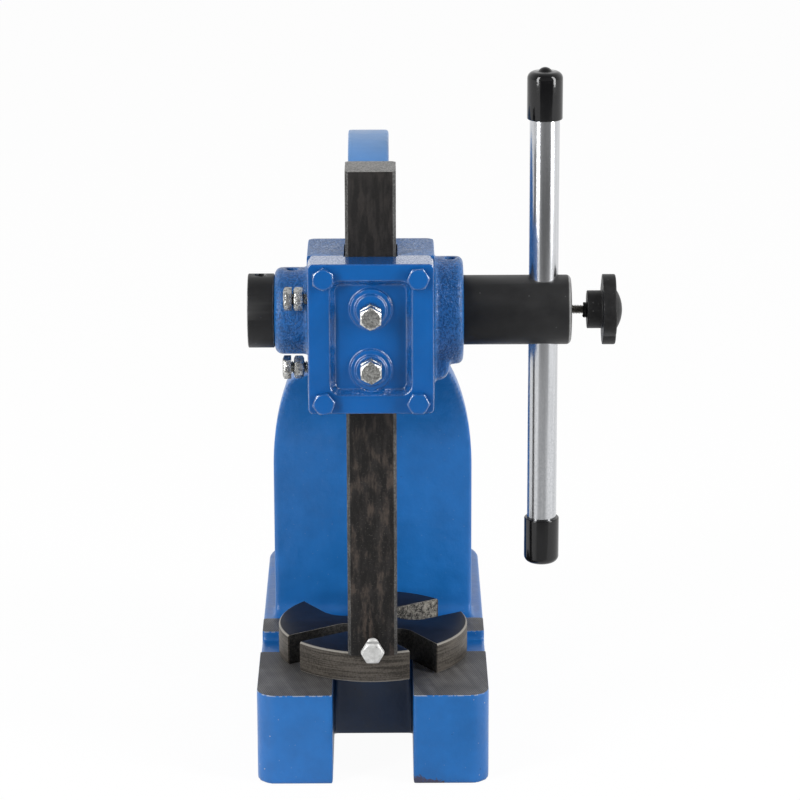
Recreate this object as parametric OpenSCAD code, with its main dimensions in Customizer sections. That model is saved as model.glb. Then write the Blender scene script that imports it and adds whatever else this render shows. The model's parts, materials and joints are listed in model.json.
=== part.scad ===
// Bench arbor press: a C-frame iron casting, a square rack ram driven by a pinion
// shaft and a sliding lever, and a loose slotted anvil plate on the base.
// Front is -Y, the ram moves along Z, and the origin is the centre of the base's underside.

/* [Base] */
// Width of the base
base_w = 149.5; // [140:1:180]
// Length of the base, front to rear
base_l = 326; // [300:1:380]
// Height of the base
base_h = 60.8; // [50:1:80]
// Plan radius of the front corners
base_front_r = 13; // [4:1:18]
// Plan radius of the rear corners
base_rear_r = 38; // [15:1:50]
// Width of the work slot between the two front legs
slot_w = 52; // [40:1:60]
// Depth of the work slot from the front
slot_l = 89.5; // [70:0.5:100]
// Thickness of the base's side and end walls
base_wall = 10; // [7:0.5:12]
// Thickness of the base's deck
deck_t = 16; // [12:0.5:22]
// Length of the machined pad at the front
pad_l = 83; // [70:0.5:95]
// Length of the painted groove behind the pad
groove_l = 39.5; // [25:0.5:45]
// Depth of the groove
groove_depth = 6.3; // [3:0.1:8]
// Length of the machined strip behind the groove
strip_l = 26.5; // [20:0.5:35]
// Drop of the painted deck behind the strip
land_drop = 1; // [0.5:0.1:3]
// Width of the rib across the hollow underside
rib_w = 14; // [10:1:24]

/* [Column] */
// Distance from the ram's axis back to the column's face
throat_depth = 126; // [118:1:140]
// Radius of the throat between the column and the head
throat_r = 75; // [55:1:85]
// Width of the column's flange
flange_w = 134; // [110:1:138]
// Thickness of the flange
flange_t = 14; // [10:0.5:20]
// Height at which the flange starts to narrow
taper_z = 165; // [140:1:175]
// Radius of the narrowing stretch
taper_r = 200; // [170:5:260]
// Radius of the flange's shoulder on the lever's far side
shoulder_r = 18; // [10:1:24]
// Radius of the fillet at the column's foot
foot_r = 10; // [4:0.5:12]
// Thickness of the rim round the web behind the flange
web_t = 26.3; // [18:0.1:34]
// Thickness of the web inside its rim
web_core = 14; // [8:0.5:17]
// Width of the rim
rim_w = 15; // [8:0.5:22]
// Sideways shift of the web from the ram's plane
web_shift = -1.5; // [-3:0.1:3]
// Radius of the hump at the top of the web
hump_r = 65.5; // [55:0.5:75]
// Distance of the hump's centre behind the ram's axis
hump_back = 100; // [92:1:110]
// Height of the hump above the head's top
hump_rise = 55.4; // [50:0.1:65]
// Distance of the web's foot from the base's rear end
web_inset = 12; // [8:0.5:30]

/* [Head] */
// Distance from the base's front to the ram's axis
ram_back = 34.2; // [30:0.1:45]
// Clear height between the anvil plate and the head
daylight = 169.5; // [150:1:190]
// Width of the head
head_w = 80; // [74:0.5:90]
// Height of the head
head_h = 95; // [90:0.5:110]
// Distance from the ram's axis back to the head's rear face
head_back = 35; // [28:0.5:45]
// Plan radius of the head's rear corners
head_corner_r = 5; // [2:0.5:10]
// Distance from the ram's axis forward to the cover's joint
joint_front = 13.7; // [10:0.1:15]
// Height of the shaft's axis above the head's underside
shaft_rise = 48.8; // [44:0.1:52]
// Diameter of the boss on the lever's side
boss_d = 69; // [60:0.5:74]
// Distance from the ram's plane to that boss's face
boss_reach = 58.7; // [50:0.1:66]
// Edge radius of that boss
boss_edge_r = 4; // [1:0.5:6]
// Diameter of the boss on the collar's side
small_boss_d = 55.6; // [48:0.1:60]
// Distance from the ram's plane to the small boss's face
small_boss_reach = 61.4; // [54:0.1:68]
// Edge radius of the small boss
small_boss_edge_r = 4.5; // [1:0.5:8]
// Radius of the rounded support under the large boss
support_r = 45; // [40:0.5:46]
// Width of that support beside the head
support_w = 9.5; // [4:0.5:14]
// Edge radius of the support
support_edge_r = 7; // [2:0.5:8]
// Diameter of the oil holes in the bosses
oil_d = 6.4; // [3:0.1:8]
// Distance from the ram's plane to the oil holes
oil_reach = 50; // [46:0.5:53]

/* [Cover] */
// Width of the cover
cover_w = 78.5; // [74:0.5:88]
// Thickness of the cover
cover_t = 23.5; // [20:0.5:30]
// Overhang of the cover below the head
cover_lap = 1.2; // [0:0.1:3]
// Radius of the cover's corners
cover_corner_r = 3; // [1:0.5:6]
// Width of the recess in the cover's face
recess_w = 51.5; // [44:0.5:54]
// Height of the recess
recess_h = 74; // [64:0.5:76]
// Depth of the recess
recess_depth = 5; // [2:0.5:7]
// Corner radius of the recess
recess_r = 7; // [5:0.5:9]
// Inward slope of the recess's walls, from face to floor
recess_draft = 3.6; // [0.5:0.1:4.5]
// Diameter of the lower step of the screw bosses
step_d = 26; // [22:0.5:30]
// Height of that step above the recess's floor
step_h = 2.5; // [1:0.1:4]
// Diameter of the upper step, which carries the lock nut
seat_d = 19.6; // [16:0.1:21]
// Sideways spacing of the cover's bolts
bolt_dx = 59; // [56:0.5:62]
// Upright spacing of the cover's bolts
bolt_dz = 80; // [78:0.2:84]
// Drop of the bolts' middle below the head's middle
bolt_drop = 1.2; // [0:0.1:3]
// Depth of the bolts in the head
bolt_grip = 14; // [10:1:20]

/* [Gib adjustment] */
// Upright spacing of the front adjusting screws
front_dz = 35; // [32:0.5:44]
// Drop of the front screws' middle below the head's middle
front_drop = 1.4; // [0:0.1:4]
// Offset of the two screw bosses away from each other, off their screws
boss_spread = 2; // [0:0.1:2.2]
// Upright spacing of the side adjusting screws
side_dz = 44.4; // [40:0.2:48]
// Drop of the side screws' middle below the head's middle
side_drop = 4.9; // [0:0.1:6]
// Distance of the side screws in front of the ram's axis
side_front = 4; // [2:0.1:5]
// Gap between the casting and the side lock nuts
side_nut_gap = 2.4; // [0.5:0.1:4]
// Gaps between the lock nuts and screw heads: front upper, front lower, side upper, side lower
head_gaps = [2.5, 1, 1, 1.8];
// Thickness of the front gib strip
front_gib_t = 5; // [3:0.1:6]
// Width of the front gib strip
front_gib_w = 22; // [16:0.5:26]
// Thickness of the side gib strip
side_gib_t = 6; // [4:0.1:8]
// Width of the side gib strip
side_gib_w = 17; // [12:0.5:18]
// Distance of the gib strips' ends from the head's top and underside
gib_inset = 6; // [4:0.5:10]

/* [Fasteners] */
// Thread diameter of the screws and bolts
thread_d = 8; // [7:0.1:9]
// Width across flats of the heads and nuts
hex_af = 13; // [12.5:0.1:14]
// Height of the screw heads
hex_h = 5.3; // [4:0.1:7]
// Height of the lock nuts
nut_h = 6.4; // [5:0.1:8]
// Radial clearance between a thread and its hole
thread_gap = 0.05; // [0.01:0.01:0.1]

/* [Ram] */
// Width of the square ram
ram_w = 31.8; // [30:0.1:34]
// Length of the ram
ram_l = 318; // [300:1:340]
// Chamfer along the ram's corners
ram_chamfer = 2; // [0.5:0.1:3]
// Diameter of the tool bore in the ram's foot
tool_bore_d = 16; // [10:0.5:18]
// Depth of the tool bore
tool_bore_l = 32; // [20:1:40]
// Height of the clamp bolt above the ram's foot
clamp_rise = 8; // [7:0.1:16]
// Reach of the clamp bolt's shank in front of the ram
clamp_reach = 14; // [8:0.5:20]
// Distance from the ram's foot to the first rack tooth
rack_foot = 48; // [40:1:60]
// Plain length at the ram's top
rack_top = 18; // [12:1:30]

/* [Rack and pinion] */
// Size of one tooth (pitch divided by pi)
tooth_m = 3; // [2.8:0.1:3.2]
// Number of pinion teeth
teeth = 10; // [10:1:11]
// Play between rack and pinion teeth
backlash = 0.3; // [0.2:0.05:0.5]
// Diameter of the journal on the lever's side
journal_d = 40; // [40:0.5:44]
// Diameter of the journal on the collar's side
small_journal_d = 28; // [24:0.5:29]
// Radial running clearance of the journals
running_gap = 0.05; // [0.02:0.01:0.1]
// Diameter of the hub that carries the lever
hub_d = 44.5; // [44.5:0.5:50]
// Length of the hub
hub_l = 68.5; // [60:0.5:80]
// Edge radius of the hub
hub_edge_r = 3; // [1:0.5:5]
// Diameter of the collar
collar_d = 47.4; // [42:0.2:52]
// Width of the collar
collar_w = 16.8; // [14:0.1:22]
// End play of the shaft on each side
end_play = 0.3; // [0.1:0.1:0.8]

/* [Lever] */
// Diameter of the lever
lever_d = 19; // [17:0.1:21]
// Length of the lever above the shaft's axis
lever_up = 152; // [140:1:175]
// Length of the lever below the shaft's axis
lever_down = 167; // [140:1:175]
// Distance from the hub's end to the lever's axis
lever_inset = 17.5; // [15:0.5:22]
// Outer diameter of the grip caps
cap_d = 22.6; // [22:0.1:25]
// Length of the grip caps
cap_l = 30.5; // [24:0.5:40]
// Thickness of the caps' closed ends
cap_end = 2.4; // [1.5:0.1:4]
// Diameter of the moulding nub on the upper cap
nub_d = 9; // [5:0.5:12]
// Height of that nub
nub_h = 2.6; // [1:0.1:4]

/* [Clamp knob] */
// Thread diameter of the clamp stud
stud_d = 6; // [5:0.5:8]
// Bare length of the stud between the hub and the knob
stud_bare = 10.3; // [8:0.1:16]
// Diameter of the knob's neck
neck_d = 24.3; // [20:0.1:27]
// Length of the neck
neck_l = 9.8; // [7:0.1:14]
// Tip-to-tip size of the knob's lobes
lobe_d = 45.4; // [40:0.2:52]
// Thickness of the lobed disc
lobe_t = 8.4; // [7:0.1:12]
// Diameter of the dome on the knob's end
dome_d = 27; // [20:0.5:28]
// Height of that dome
dome_h = 4.4; // [2:0.1:6]

/* [Anvil plate] */
// Diameter of the anvil plate
plate_d = 124.7; // [115:1:130]
// Thickness of the anvil plate
plate_t = 20.4; // [16:0.5:25]
// Distance from the base's front to the plate's centre
plate_back = 86.2; // [84:0.2:90]
// Widths of the four slots
slot_widths = [14.5, 21.5, 30, 36];
// Distances of the slots' inner ends from the plate's centre
slot_ends = [15, 20.5, 17, 15.5];
// Chamfer round the plate's edges
plate_chamfer = 1; // [0.5:0.1:2]

/* [Hidden] */
$fn = 72;

// Overrun of every cut past the face it opens
cut = 1;
// Lap of the shoulder's circle over the narrowing stretch, so that the two cross
shoulder_lap = 0.2;
// Rest gap between the ram's foot and the anvil plate
seat_gap = 0.3;
// Sliding clearance of the ram and the gib strips
slide_gap = 0.1;
// Clearance of the channel's mouths round the ram, and their depth
mouth_gap = 0.9;
mouth_l = 4;
// Clearance of the bolt holes in the cover
bolt_gap = 0.3;
// Chamfer of hex heads and nuts, and of screw tips
hex_chamfer = 0.8;
tip_chamfer = 1;
// Directions of the anvil plate's slots, in step with slot_widths
slot_angles = [213.5, 302.5, 31.5, 122];
// Turn of each cover bolt's hex: left lower, left upper, right lower, right upper
cover_bolt_turns = [10, 30, 0, 5];
// Edge radius of the caps, the collar and the knob
cap_edge_r = 4.5;
collar_edge_r = 0.8;
lobe_edge_r = 1;
// Socket in the collar's set screw: size across flats and depth; the screw's sink
socket_af = 4;
socket_l = 4;
set_screw_sink = 1.6;
// Thread engagement of the clamp stud in the knob
stud_grip = 12;
// Knob lobes: how many, and each lobe's radius as a share of the knob's radius
lobes = 4;
lobe_share = 0.7;
// Gear tooth shares of the tooth size: pinion shift, pinion tip, rack tip, root
shift_share = 0.42;
tip_share = 0.9;
rack_tip_share = 1;
root_share = 1.25;
// Pressure angle of the teeth and steps along one flank
pressure = 20;
flank_steps = 6;

// Base and column places
front_y = -base_l/2;
rear_y = base_l/2;
ram_y = front_y + ram_back;
plate_y = front_y + plate_back;
column_y = ram_y + throat_depth;
strip_rear_y = front_y + pad_l + groove_l + strip_l;
land_z = base_h - land_drop;
// Head places
plate_top = base_h + plate_t;
head_z = plate_top + daylight;
head_top = head_z + head_h;
joint_y = ram_y - joint_front;
cover_y = joint_y - cover_t;
head_mid = head_z + head_h/2;
throat_cy = column_y - throat_r;
throat_cz = head_z - throat_r;
// Hump of the web, and the tangent from the web's foot to it
hump_y = ram_y + hump_back;
hump_z = head_top + hump_rise - hump_r;
foot_y = rear_y - web_inset;
foot_run = sqrt(pow(foot_y - hump_y, 2) + pow(land_z - hump_z, 2));
tangent_a = atan2(land_z - hump_z, foot_y - hump_y) + acos(hump_r/foot_run);
// Angle on the narrowing stretch at which the shoulder's circle takes over
shoulder_a = acos((head_w/2 + taper_r - flange_w/2)/(taper_r - shoulder_r));
// Rack and pinion places
pitch_r = tooth_m*teeth/2;
base_r = pitch_r*cos(pressure);
tip_r = pitch_r + tooth_m*(shift_share + tip_share);
root_r = pitch_r + tooth_m*(shift_share - root_share);
rack_line = pitch_r + tooth_m*shift_share;
rack_face = rack_line - tooth_m*rack_tip_share;
tooth_pitch = PI*tooth_m;
shaft_y = ram_y + ram_w/2 + rack_face;
shaft_z = head_z + shaft_rise;
tooth_l = ram_w;
// Ram and lever places
ram_z = plate_top + seat_gap;
ram_top = ram_z + ram_l;
hub_x = boss_reach + end_play;
hub_end = hub_x + hub_l;
lever_x = hub_end - lever_inset;
collar_x = -(small_boss_reach + end_play + collar_w);
// Screw radii and places
thread_r = thread_d/2;
hole_r = thread_r + thread_gap;
hex_r = hex_af/2/cos(30);
hex_face_r = hex_r - hex_chamfer*tan(60);
front_mid = head_mid - front_drop;
bolt_mid = head_mid - bolt_drop;
side_mid = head_mid - side_drop;
gib_z = head_z + gib_inset;
gib_l = head_h - 2*gib_inset;
channel_r = ram_w/2 + slide_gap;
front_gib_y = ram_y - channel_r - front_gib_t;
side_gib_x = -(channel_r + side_gib_t);
side_y = ram_y - side_front;

// Extrudes a (Y, Z) profile along +X
module along_x(l) rotate([90, 0, 90]) linear_extrude(l) children();
// Extrudes an (X, Z) profile along -Y, from y = 0
module along_front(l) rotate([90, 0, 0]) linear_extrude(l) children();
// Turns a piece that stands along +Z to point along +X, -X or -Y
module to_right() rotate([0, 90, 0]) children();
module to_left() rotate([0, -90, 0]) children();
module to_front() rotate([90, 0, 0]) children();

// What a rounding of radius r takes off a corner whose body lies to its lower left
module corner_cut(r) translate([-r, -r]) difference() {
    square(r + cut);
    circle(r);
}
// Fillet of radius r in a corner whose walls lie below and to the right
module fillet(r) difference() {
    translate([-r, 0]) square(r);
    translate([-r, r]) circle(r);
}
// Plan with its own radii at the front and rear corners
module plan(w, front, rear, rf, rr) difference() {
    translate([-w/2, front]) square([w, rear - front]);
    for (s = [0, 1]) mirror([s, 0]) {
        translate([w/2, rear]) corner_cut(rr);
        translate([w/2, front]) mirror([0, 1]) corner_cut(rf);
    }
}
// Rectangle about the origin with round corners
module soft_rect(w, h, r) plan(w, -h/2, h/2, r, r);
// Disc along +Z whose far edge is rounded
module soft_disc(r, h, edge) rotate_extrude() {
    square([r - edge, h]);
    square([r, h - edge]);
    translate([r - edge, h - edge]) circle(edge);
}
// Hex prism along +Z with its outer corners turned off
module hex(h, turn) intersection() {
    rotate(turn) cylinder(r = hex_r, h = h, $fn = 6);
    cylinder(r1 = hex_face_r + h*tan(60), r2 = hex_face_r, h = h);
}
// Screw along +Z: head on top of z = 0, shank of length l below
module screw(l, turn) {
    hex(hex_h, turn);
    translate([0, 0, -l]) cylinder(r1 = thread_r - tip_chamfer, r2 = thread_r, h = tip_chamfer);
    translate([0, 0, tip_chamfer - l]) cylinder(r = thread_r, h = l - tip_chamfer);
}
// Lock nut along +Z
module nut(turn) difference() {
    hex(nut_h, turn);
    translate([0, 0, -cut]) cylinder(r = hole_r, h = nut_h + 2*cut);
}

// Open throat in the (Y, Z) plane, grown outward by g
module throat(g) {
    translate([front_y - throat_depth, 0]) square([throat_cy - front_y + throat_depth, head_z + g]);
    square_w = column_y - throat_cy + g;
    translate([throat_cy, 0]) square([square_w, throat_cz]);
    translate([throat_cy, throat_cz]) circle(throat_r + g);
}
// Side profile of the curved flange
module flange_side() {
    difference() {
        throat(flange_t);
        throat(0);
        translate([front_y - throat_depth, 0]) square([ram_y - front_y + throat_depth, head_top]);
        translate([front_y, 0]) square([base_l, land_z - deck_t/2]);
    }
    translate([column_y, land_z]) fillet(foot_r);
}
// Plan of the flange, as wide as the head along the head
module flange_plan() {
    translate([-head_w/2, ram_y]) square([head_w, base_l]);
    translate([-base_w/2, throat_cy]) square([base_w, base_l]);
}
// Front outline that narrows the flange towards the head
module flange_front() {
    centre_x = taper_r - flange_w/2;
    left_top = taper_r*sin(shoulder_a);
    translate([-flange_w/2, 0]) square([flange_w, taper_z]);
    intersection() {
        translate([-centre_x, taper_z]) circle(taper_r, $fn = 144);
        translate([centre_x, taper_z]) circle(taper_r, $fn = 144);
        union() {
            translate([-flange_w/2, taper_z]) square([flange_w/2, left_top]);
            translate([0, taper_z]) square([flange_w/2, head_z + flange_t - taper_z]);
        }
    }
    shoulder_reach = taper_r - shoulder_r + shoulder_lap;
    shoulder_x = shoulder_reach*cos(shoulder_a) - centre_x;
    shoulder_z = taper_z + shoulder_reach*sin(shoulder_a);
    translate([-shoulder_x, shoulder_z]) circle(shoulder_r);
    translate([-shoulder_x, taper_z]) square([shoulder_x, shoulder_z + shoulder_r - taper_z]);
    translate([-head_w/2, taper_z]) square([head_w, head_z + flange_t - taper_z]);
}
// Side profile of the web with its hump, inside a rim of the given width
module web_side(rim, floor_z) difference() {
    r = hump_r - rim;
    rear = hump_y + (r - (floor_z - hump_z)*sin(tangent_a))/cos(tangent_a);
    union() {
        translate([hump_y, hump_z]) circle(r, $fn = 144);
        polygon([
            [rear, floor_z],
            [hump_y + r*cos(tangent_a), hump_z + r*sin(tangent_a)],
            [hump_y, hump_z],
            [shaft_y, head_top - rim],
            [shaft_y, throat_cz],
            [column_y, throat_cz],
            [column_y, floor_z]]);
    }
    throat(0);
    translate([ram_y - hump_back, head_z]) square([hump_back + head_back/2, head_h + hump_r]);
}
// Web with a flat panel sunk into each side of it
module web() translate([web_shift, 0, 0]) difference() {
    translate([-web_t/2, 0, 0]) along_x(web_t) web_side(0, land_z - deck_t/2);
    for (s = [0, 1]) mirror([s, 0, 0]) translate([web_core/2, 0, 0]) along_x(web_t) difference() {
        web_side(rim_w, land_z + rim_w);
        throat(flange_t);
        translate([shaft_y, shaft_z]) circle(boss_d/2 + web_core/2);
    }
}
// Solid base with its deck, slot, groove and hollow underside
module base_body() difference() {
    linear_extrude(base_h) plan(base_w, front_y, rear_y, base_front_r, base_rear_r);
    // Work slot
    translate([-slot_w/2, front_y - cut, -cut]) cube([slot_w, slot_l + cut, base_h + 2*cut]);
    // Painted groove
    translate([-base_w/2 - cut, front_y + pad_l, base_h - groove_depth])
        cube([base_w + 2*cut, groove_l, groove_depth + cut]);
    // Painted deck behind the machined strip
    translate([-base_w/2 - cut, strip_rear_y, land_z])
        cube([base_w + 2*cut, rear_y - strip_rear_y + cut, land_drop + cut]);
    // Hollow underside, which runs into the legs, with a rib across its middle
    translate([0, 0, -cut]) linear_extrude(base_h - deck_t + cut) difference() {
        plan(base_w - 2*base_wall, front_y + base_wall, rear_y - base_wall,
            max(base_front_r - base_wall, cut), max(base_rear_r - base_wall, cut));
        translate([-slot_w/2 - base_wall, front_y])
            square([slot_w + 2*base_wall, slot_l + base_wall]);
        translate([-base_w/2, -rib_w/2]) square([base_w, rib_w]);
    }
}
// Round support that carries the large boss down to the flange
module boss_support() intersection() {
    translate([head_w/2 - cut, shaft_y, shaft_z]) to_right()
        soft_disc(support_r, support_w + cut, support_edge_r);
    translate([head_w/2 - cut, shaft_y - support_r/2, head_z])
        cube([support_w + 2*cut, 1.5*support_r, shaft_rise/2]);
}
module frame_casting() color([0.11, 0.38, 0.66]) difference() {
    union() {
        base_body();
        intersection() {
            translate([-base_w/2, 0, 0]) along_x(base_w) flange_side();
            translate([0, rear_y, 0]) along_front(base_l) flange_front();
            linear_extrude(head_top) flange_plan();
        }
        web();
        translate([0, 0, head_z]) linear_extrude(head_h)
            plan(head_w, joint_y, ram_y + head_back, 0, head_corner_r);
        translate([-head_w/2, shaft_y, shaft_z]) to_right() cylinder(d = boss_d, h = head_w);
        translate([0, shaft_y, shaft_z]) to_right() soft_disc(boss_d/2, boss_reach, boss_edge_r);
        translate([0, shaft_y, shaft_z]) to_left()
            soft_disc(small_boss_d/2, small_boss_reach, small_boss_edge_r);
        boss_support();
    }
    // Channel of the ram, open to the front, with wider mouths
    channel_y = joint_y - cut;
    translate([-channel_r, channel_y, head_z - cut])
        cube([2*channel_r, ram_y + channel_r - channel_y, head_h + 2*cut]);
    mouth_r = ram_w/2 + mouth_gap;
    for (z = [head_z - cut, head_top - mouth_l]) translate([-mouth_r, channel_y, z])
        cube([2*mouth_r, ram_y + mouth_r - channel_y, mouth_l + cut]);
    // Pocket of the side gib
    translate([side_gib_x - slide_gap, side_y - side_gib_w/2 - slide_gap, gib_z - slide_gap])
        cube([side_gib_t + cut, side_gib_w + 2*slide_gap, gib_l + 2*slide_gap]);
    // Bores of the shaft
    translate([-tooth_l/2 - end_play, shaft_y, shaft_z]) to_right()
        cylinder(r = journal_d/2 + running_gap, h = boss_reach + tooth_l + cut);
    translate([0, shaft_y, shaft_z]) to_left()
        cylinder(r = small_journal_d/2 + running_gap, h = small_boss_reach + cut);
    // Oil holes
    for (s = [-1, 1]) translate([s*oil_reach, shaft_y, shaft_z]) cylinder(d = oil_d, h = boss_d);
    // Side adjusting screws
    for (s = [-1, 1]) translate([0, side_y, side_mid + s*side_dz/2]) to_left()
        cylinder(r = hole_r, h = head_w);
    // Cover bolts
    for (s = [-1, 1], t = [-1, 1])
        translate([s*bolt_dx/2, joint_y + bolt_grip + tip_chamfer, bolt_mid + t*bolt_dz/2]) to_front()
            cylinder(r = hole_r, h = bolt_grip + tip_chamfer + cut);
}
module cover_plate() color([0.11, 0.38, 0.68]) difference() {
    union() {
        difference() {
            translate([0, joint_y, head_mid - cover_lap/2]) along_front(cover_t)
                soft_rect(cover_w, head_h + cover_lap, cover_corner_r);
            // Recess with sloped walls
            translate([0, cover_y, head_mid]) to_front() hull() for (s = [-1, 1], t = [-1, 1])
                translate([s*(recess_w/2 - recess_r), t*(recess_h/2 - recess_r), -recess_depth])
                    cylinder(r1 = recess_r - recess_draft,
                        r2 = recess_r + recess_draft*cut/recess_depth, h = recess_depth + cut, $fn = 32);
        }
        for (s = [-1, 1]) {
            z = front_mid + s*(front_dz/2 + boss_spread);
            translate([0, cover_y + recess_depth + cut, z]) to_front() {
                cylinder(d = step_d, h = step_h + cut);
                cylinder(d = seat_d, h = recess_depth + cut);
            }
        }
    }
    // Groove over the ram and pocket of the front gib
    translate([-channel_r, ram_y - channel_r, head_z - cover_lap - cut])
        cube([2*channel_r, channel_r + cut, head_h + cover_lap + 2*cut]);
    translate([-front_gib_w/2 - slide_gap, front_gib_y - slide_gap, gib_z - slide_gap])
        cube([front_gib_w + 2*slide_gap, channel_r, gib_l + 2*slide_gap]);
    // Front adjusting screws
    for (s = [-1, 1]) translate([0, joint_y, front_mid + s*front_dz/2]) to_front()
        cylinder(r = hole_r, h = cover_t + cut);
    // Cover bolts
    for (s = [-1, 1], t = [-1, 1]) translate([s*bolt_dx/2, joint_y + cut, bolt_mid + t*bolt_dz/2])
        to_front() cylinder(r = thread_r + bolt_gap, h = cover_t + 2*cut);
}
module cover_bolts() color([0.11, 0.38, 0.68]) for (i = [0:3]) {
    s = i < 2 ? -1 : 1;
    t = i % 2 == 0 ? -1 : 1;
    translate([s*bolt_dx/2, cover_y, bolt_mid + t*bolt_dz/2]) to_front()
        screw(cover_t + bolt_grip, cover_bolt_turns[i]);
}
module front_gib() color([0.45, 0.45, 0.47]) translate([-front_gib_w/2, front_gib_y, gib_z])
    cube([front_gib_w, front_gib_t, gib_l]);
module side_gib() color([0.45, 0.45, 0.47])
    translate([side_gib_x, side_y - side_gib_w/2, gib_z]) cube([side_gib_t, side_gib_w, gib_l]);

// Front adjusting screw above (s = 1) or below (s = -1), with the given gap to its nut
module front_screw(s, gap, turn) color("silver")
    translate([0, cover_y - nut_h - gap, front_mid + s*front_dz/2]) to_front()
        screw(front_gib_y - cover_y + nut_h + gap, turn);
module front_nut(s, turn) color("silver")
    translate([0, cover_y, front_mid + s*front_dz/2]) to_front() nut(turn);
// Side adjusting screw above (s = 1) or below (s = -1)
module side_screw(s, gap, turn) color("silver")
    translate([-head_w/2 - side_nut_gap - nut_h - gap, side_y, side_mid + s*side_dz/2]) to_left()
        screw(head_w/2 + side_nut_gap + nut_h + gap + side_gib_x, turn);
module side_nut(s, turn) color("silver")
    translate([-head_w/2 - side_nut_gap, side_y, side_mid + s*side_dz/2]) to_left() nut(turn);
module front_screw_upper() front_screw(1, head_gaps[0], 28);
module front_screw_lower() front_screw(-1, head_gaps[1], 34);
module front_nut_upper() front_nut(1, 32);
module front_nut_lower() front_nut(-1, 27);
module side_screw_upper() side_screw(1, head_gaps[2], 8);
module side_screw_lower() side_screw(-1, head_gaps[3], 20);
module side_nut_upper() side_nut(1, 16);
module side_nut_lower() side_nut(-1, 2);

// Space between two rack teeth, in the (Y, Z) plane, centred on z = 0, with y = 0 on the pitch line
module rack_space() {
    half_w = tooth_pitch/4;
    face_w = half_w + (tooth_m*rack_tip_share + cut)*tan(pressure);
    root_w = half_w - tooth_m*root_share*tan(pressure);
    polygon([
        [tooth_m*rack_tip_share + cut, -face_w],
        [tooth_m*rack_tip_share + cut, face_w],
        [-tooth_m*root_share, root_w],
        [-tooth_m*root_share, -root_w]]);
}
module ram() color([0.18, 0.16, 0.15]) difference() {
    translate([0, ram_y, ram_z]) linear_extrude(ram_l) difference() {
        square(ram_w, center = true);
        for (a = [0:90:270]) rotate(a) translate([ram_w/2, ram_w/2]) rotate(45)
            square([ram_chamfer*sqrt(2), 2*ram_w], center = true);
    }
    // Rack on the rear face, in step with the pinion
    down = floor((shaft_z - ram_z - rack_foot)/tooth_pitch);
    up = floor((ram_top - rack_top - shaft_z)/tooth_pitch);
    translate([-ram_w/2 - cut, shaft_y - rack_line, shaft_z]) along_x(ram_w + 2*cut)
        for (k = [-down:up]) translate([0, k*tooth_pitch]) rack_space();
    // Tool bore and the clamp bolt's hole
    translate([0, ram_y, ram_z - cut]) cylinder(d = tool_bore_d, h = tool_bore_l + cut);
    translate([0, ram_y, ram_z + clamp_rise]) to_front() cylinder(r = hole_r, h = ram_w/2 + cut);
}
module tool_clamp_bolt() color("silver")
    translate([0, ram_y - ram_w/2 - clamp_reach, ram_z + clamp_rise]) to_front()
        screw(clamp_reach + (ram_w - tool_bore_d)/2 - tip_chamfer, 0);

// Half the angle that one pinion tooth spans at radius r
function involute(a) = tan(a)*180/PI - a;
function half_angle(r) = (90 + 2*shift_share*tan(pressure)*180/PI)/teeth
    - backlash/pitch_r/4*180/PI + involute(pressure) - involute(acos(min(1, base_r/r)));
function polar(r, a) = [r*cos(a), r*sin(a)];
// One pinion tooth about the angle a, root to tip and back
function tooth(a) = let (n = flank_steps, d = (tip_r - base_r)/n) concat(
    [polar(root_r, a - half_angle(base_r))],
    [for (i = [0:n]) polar(base_r + i*d, a - half_angle(base_r + i*d))],
    [for (i = [n:-1:0]) polar(base_r + i*d, a + half_angle(base_r + i*d))],
    [polar(root_r, a + half_angle(base_r))]);
module pinion() polygon([for (k = [0:teeth - 1]) each tooth(180 + k*360/teeth)]);
module pinion_shaft() color([0.17, 0.17, 0.17]) difference() {
    union() {
        translate([-tooth_l/2, shaft_y, shaft_z]) along_x(tooth_l + cut) pinion();
        translate([tooth_l/2, shaft_y, shaft_z]) to_right()
            cylinder(d = journal_d, h = hub_x - tooth_l/2 + cut);
        translate([hub_x, shaft_y, shaft_z]) to_right() soft_disc(hub_d/2, hub_l, hub_edge_r);
        translate([cut - tooth_l/2, shaft_y, shaft_z]) to_left()
            cylinder(d = small_journal_d, h = -collar_x - tooth_l/2 + cut);
    }
    // Lever hole and the clamp stud's hole
    translate([lever_x, shaft_y, shaft_z - hub_d])
        cylinder(r = lever_d/2 + running_gap, h = 2*hub_d);
    translate([lever_x, shaft_y, shaft_z]) to_right()
        cylinder(r = stud_d/2 + thread_gap, h = lever_inset + cut);
}
module shaft_collar() color([0.15, 0.15, 0.15]) difference() {
    translate([collar_x, shaft_y, shaft_z]) to_right() rotate_extrude() difference() {
        square([collar_d/2, collar_w]);
        translate([collar_d/2, collar_w]) corner_cut(collar_edge_r);
        translate([collar_d/2, 0]) mirror([0, 1]) corner_cut(collar_edge_r);
    }
    translate([collar_x - cut, shaft_y, shaft_z]) to_right()
        cylinder(r = small_journal_d/2 + thread_gap, h = collar_w + 2*cut);
    translate([collar_x + collar_w/2, shaft_y, shaft_z]) cylinder(r = hole_r, h = collar_d);
}
module collar_set_screw() color([0.2, 0.2, 0.2])
    translate([collar_x + collar_w/2, shaft_y, shaft_z]) difference() {
        top = collar_d/2 - set_screw_sink;
        cylinder(r = thread_r, h = top);
        to_left() translate([0, 0, -collar_w]) cylinder(r = small_journal_d/2 + thread_gap,
            h = 2*collar_w);
        translate([0, 0, top - socket_l])
            cylinder(r = socket_af/2/cos(30), h = socket_l + cut, $fn = 6);
    }
module lever_bar() color([0.7, 0.71, 0.73])
    translate([lever_x, shaft_y, shaft_z - lever_down]) cylinder(d = lever_d, h = lever_up + lever_down);
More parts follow.
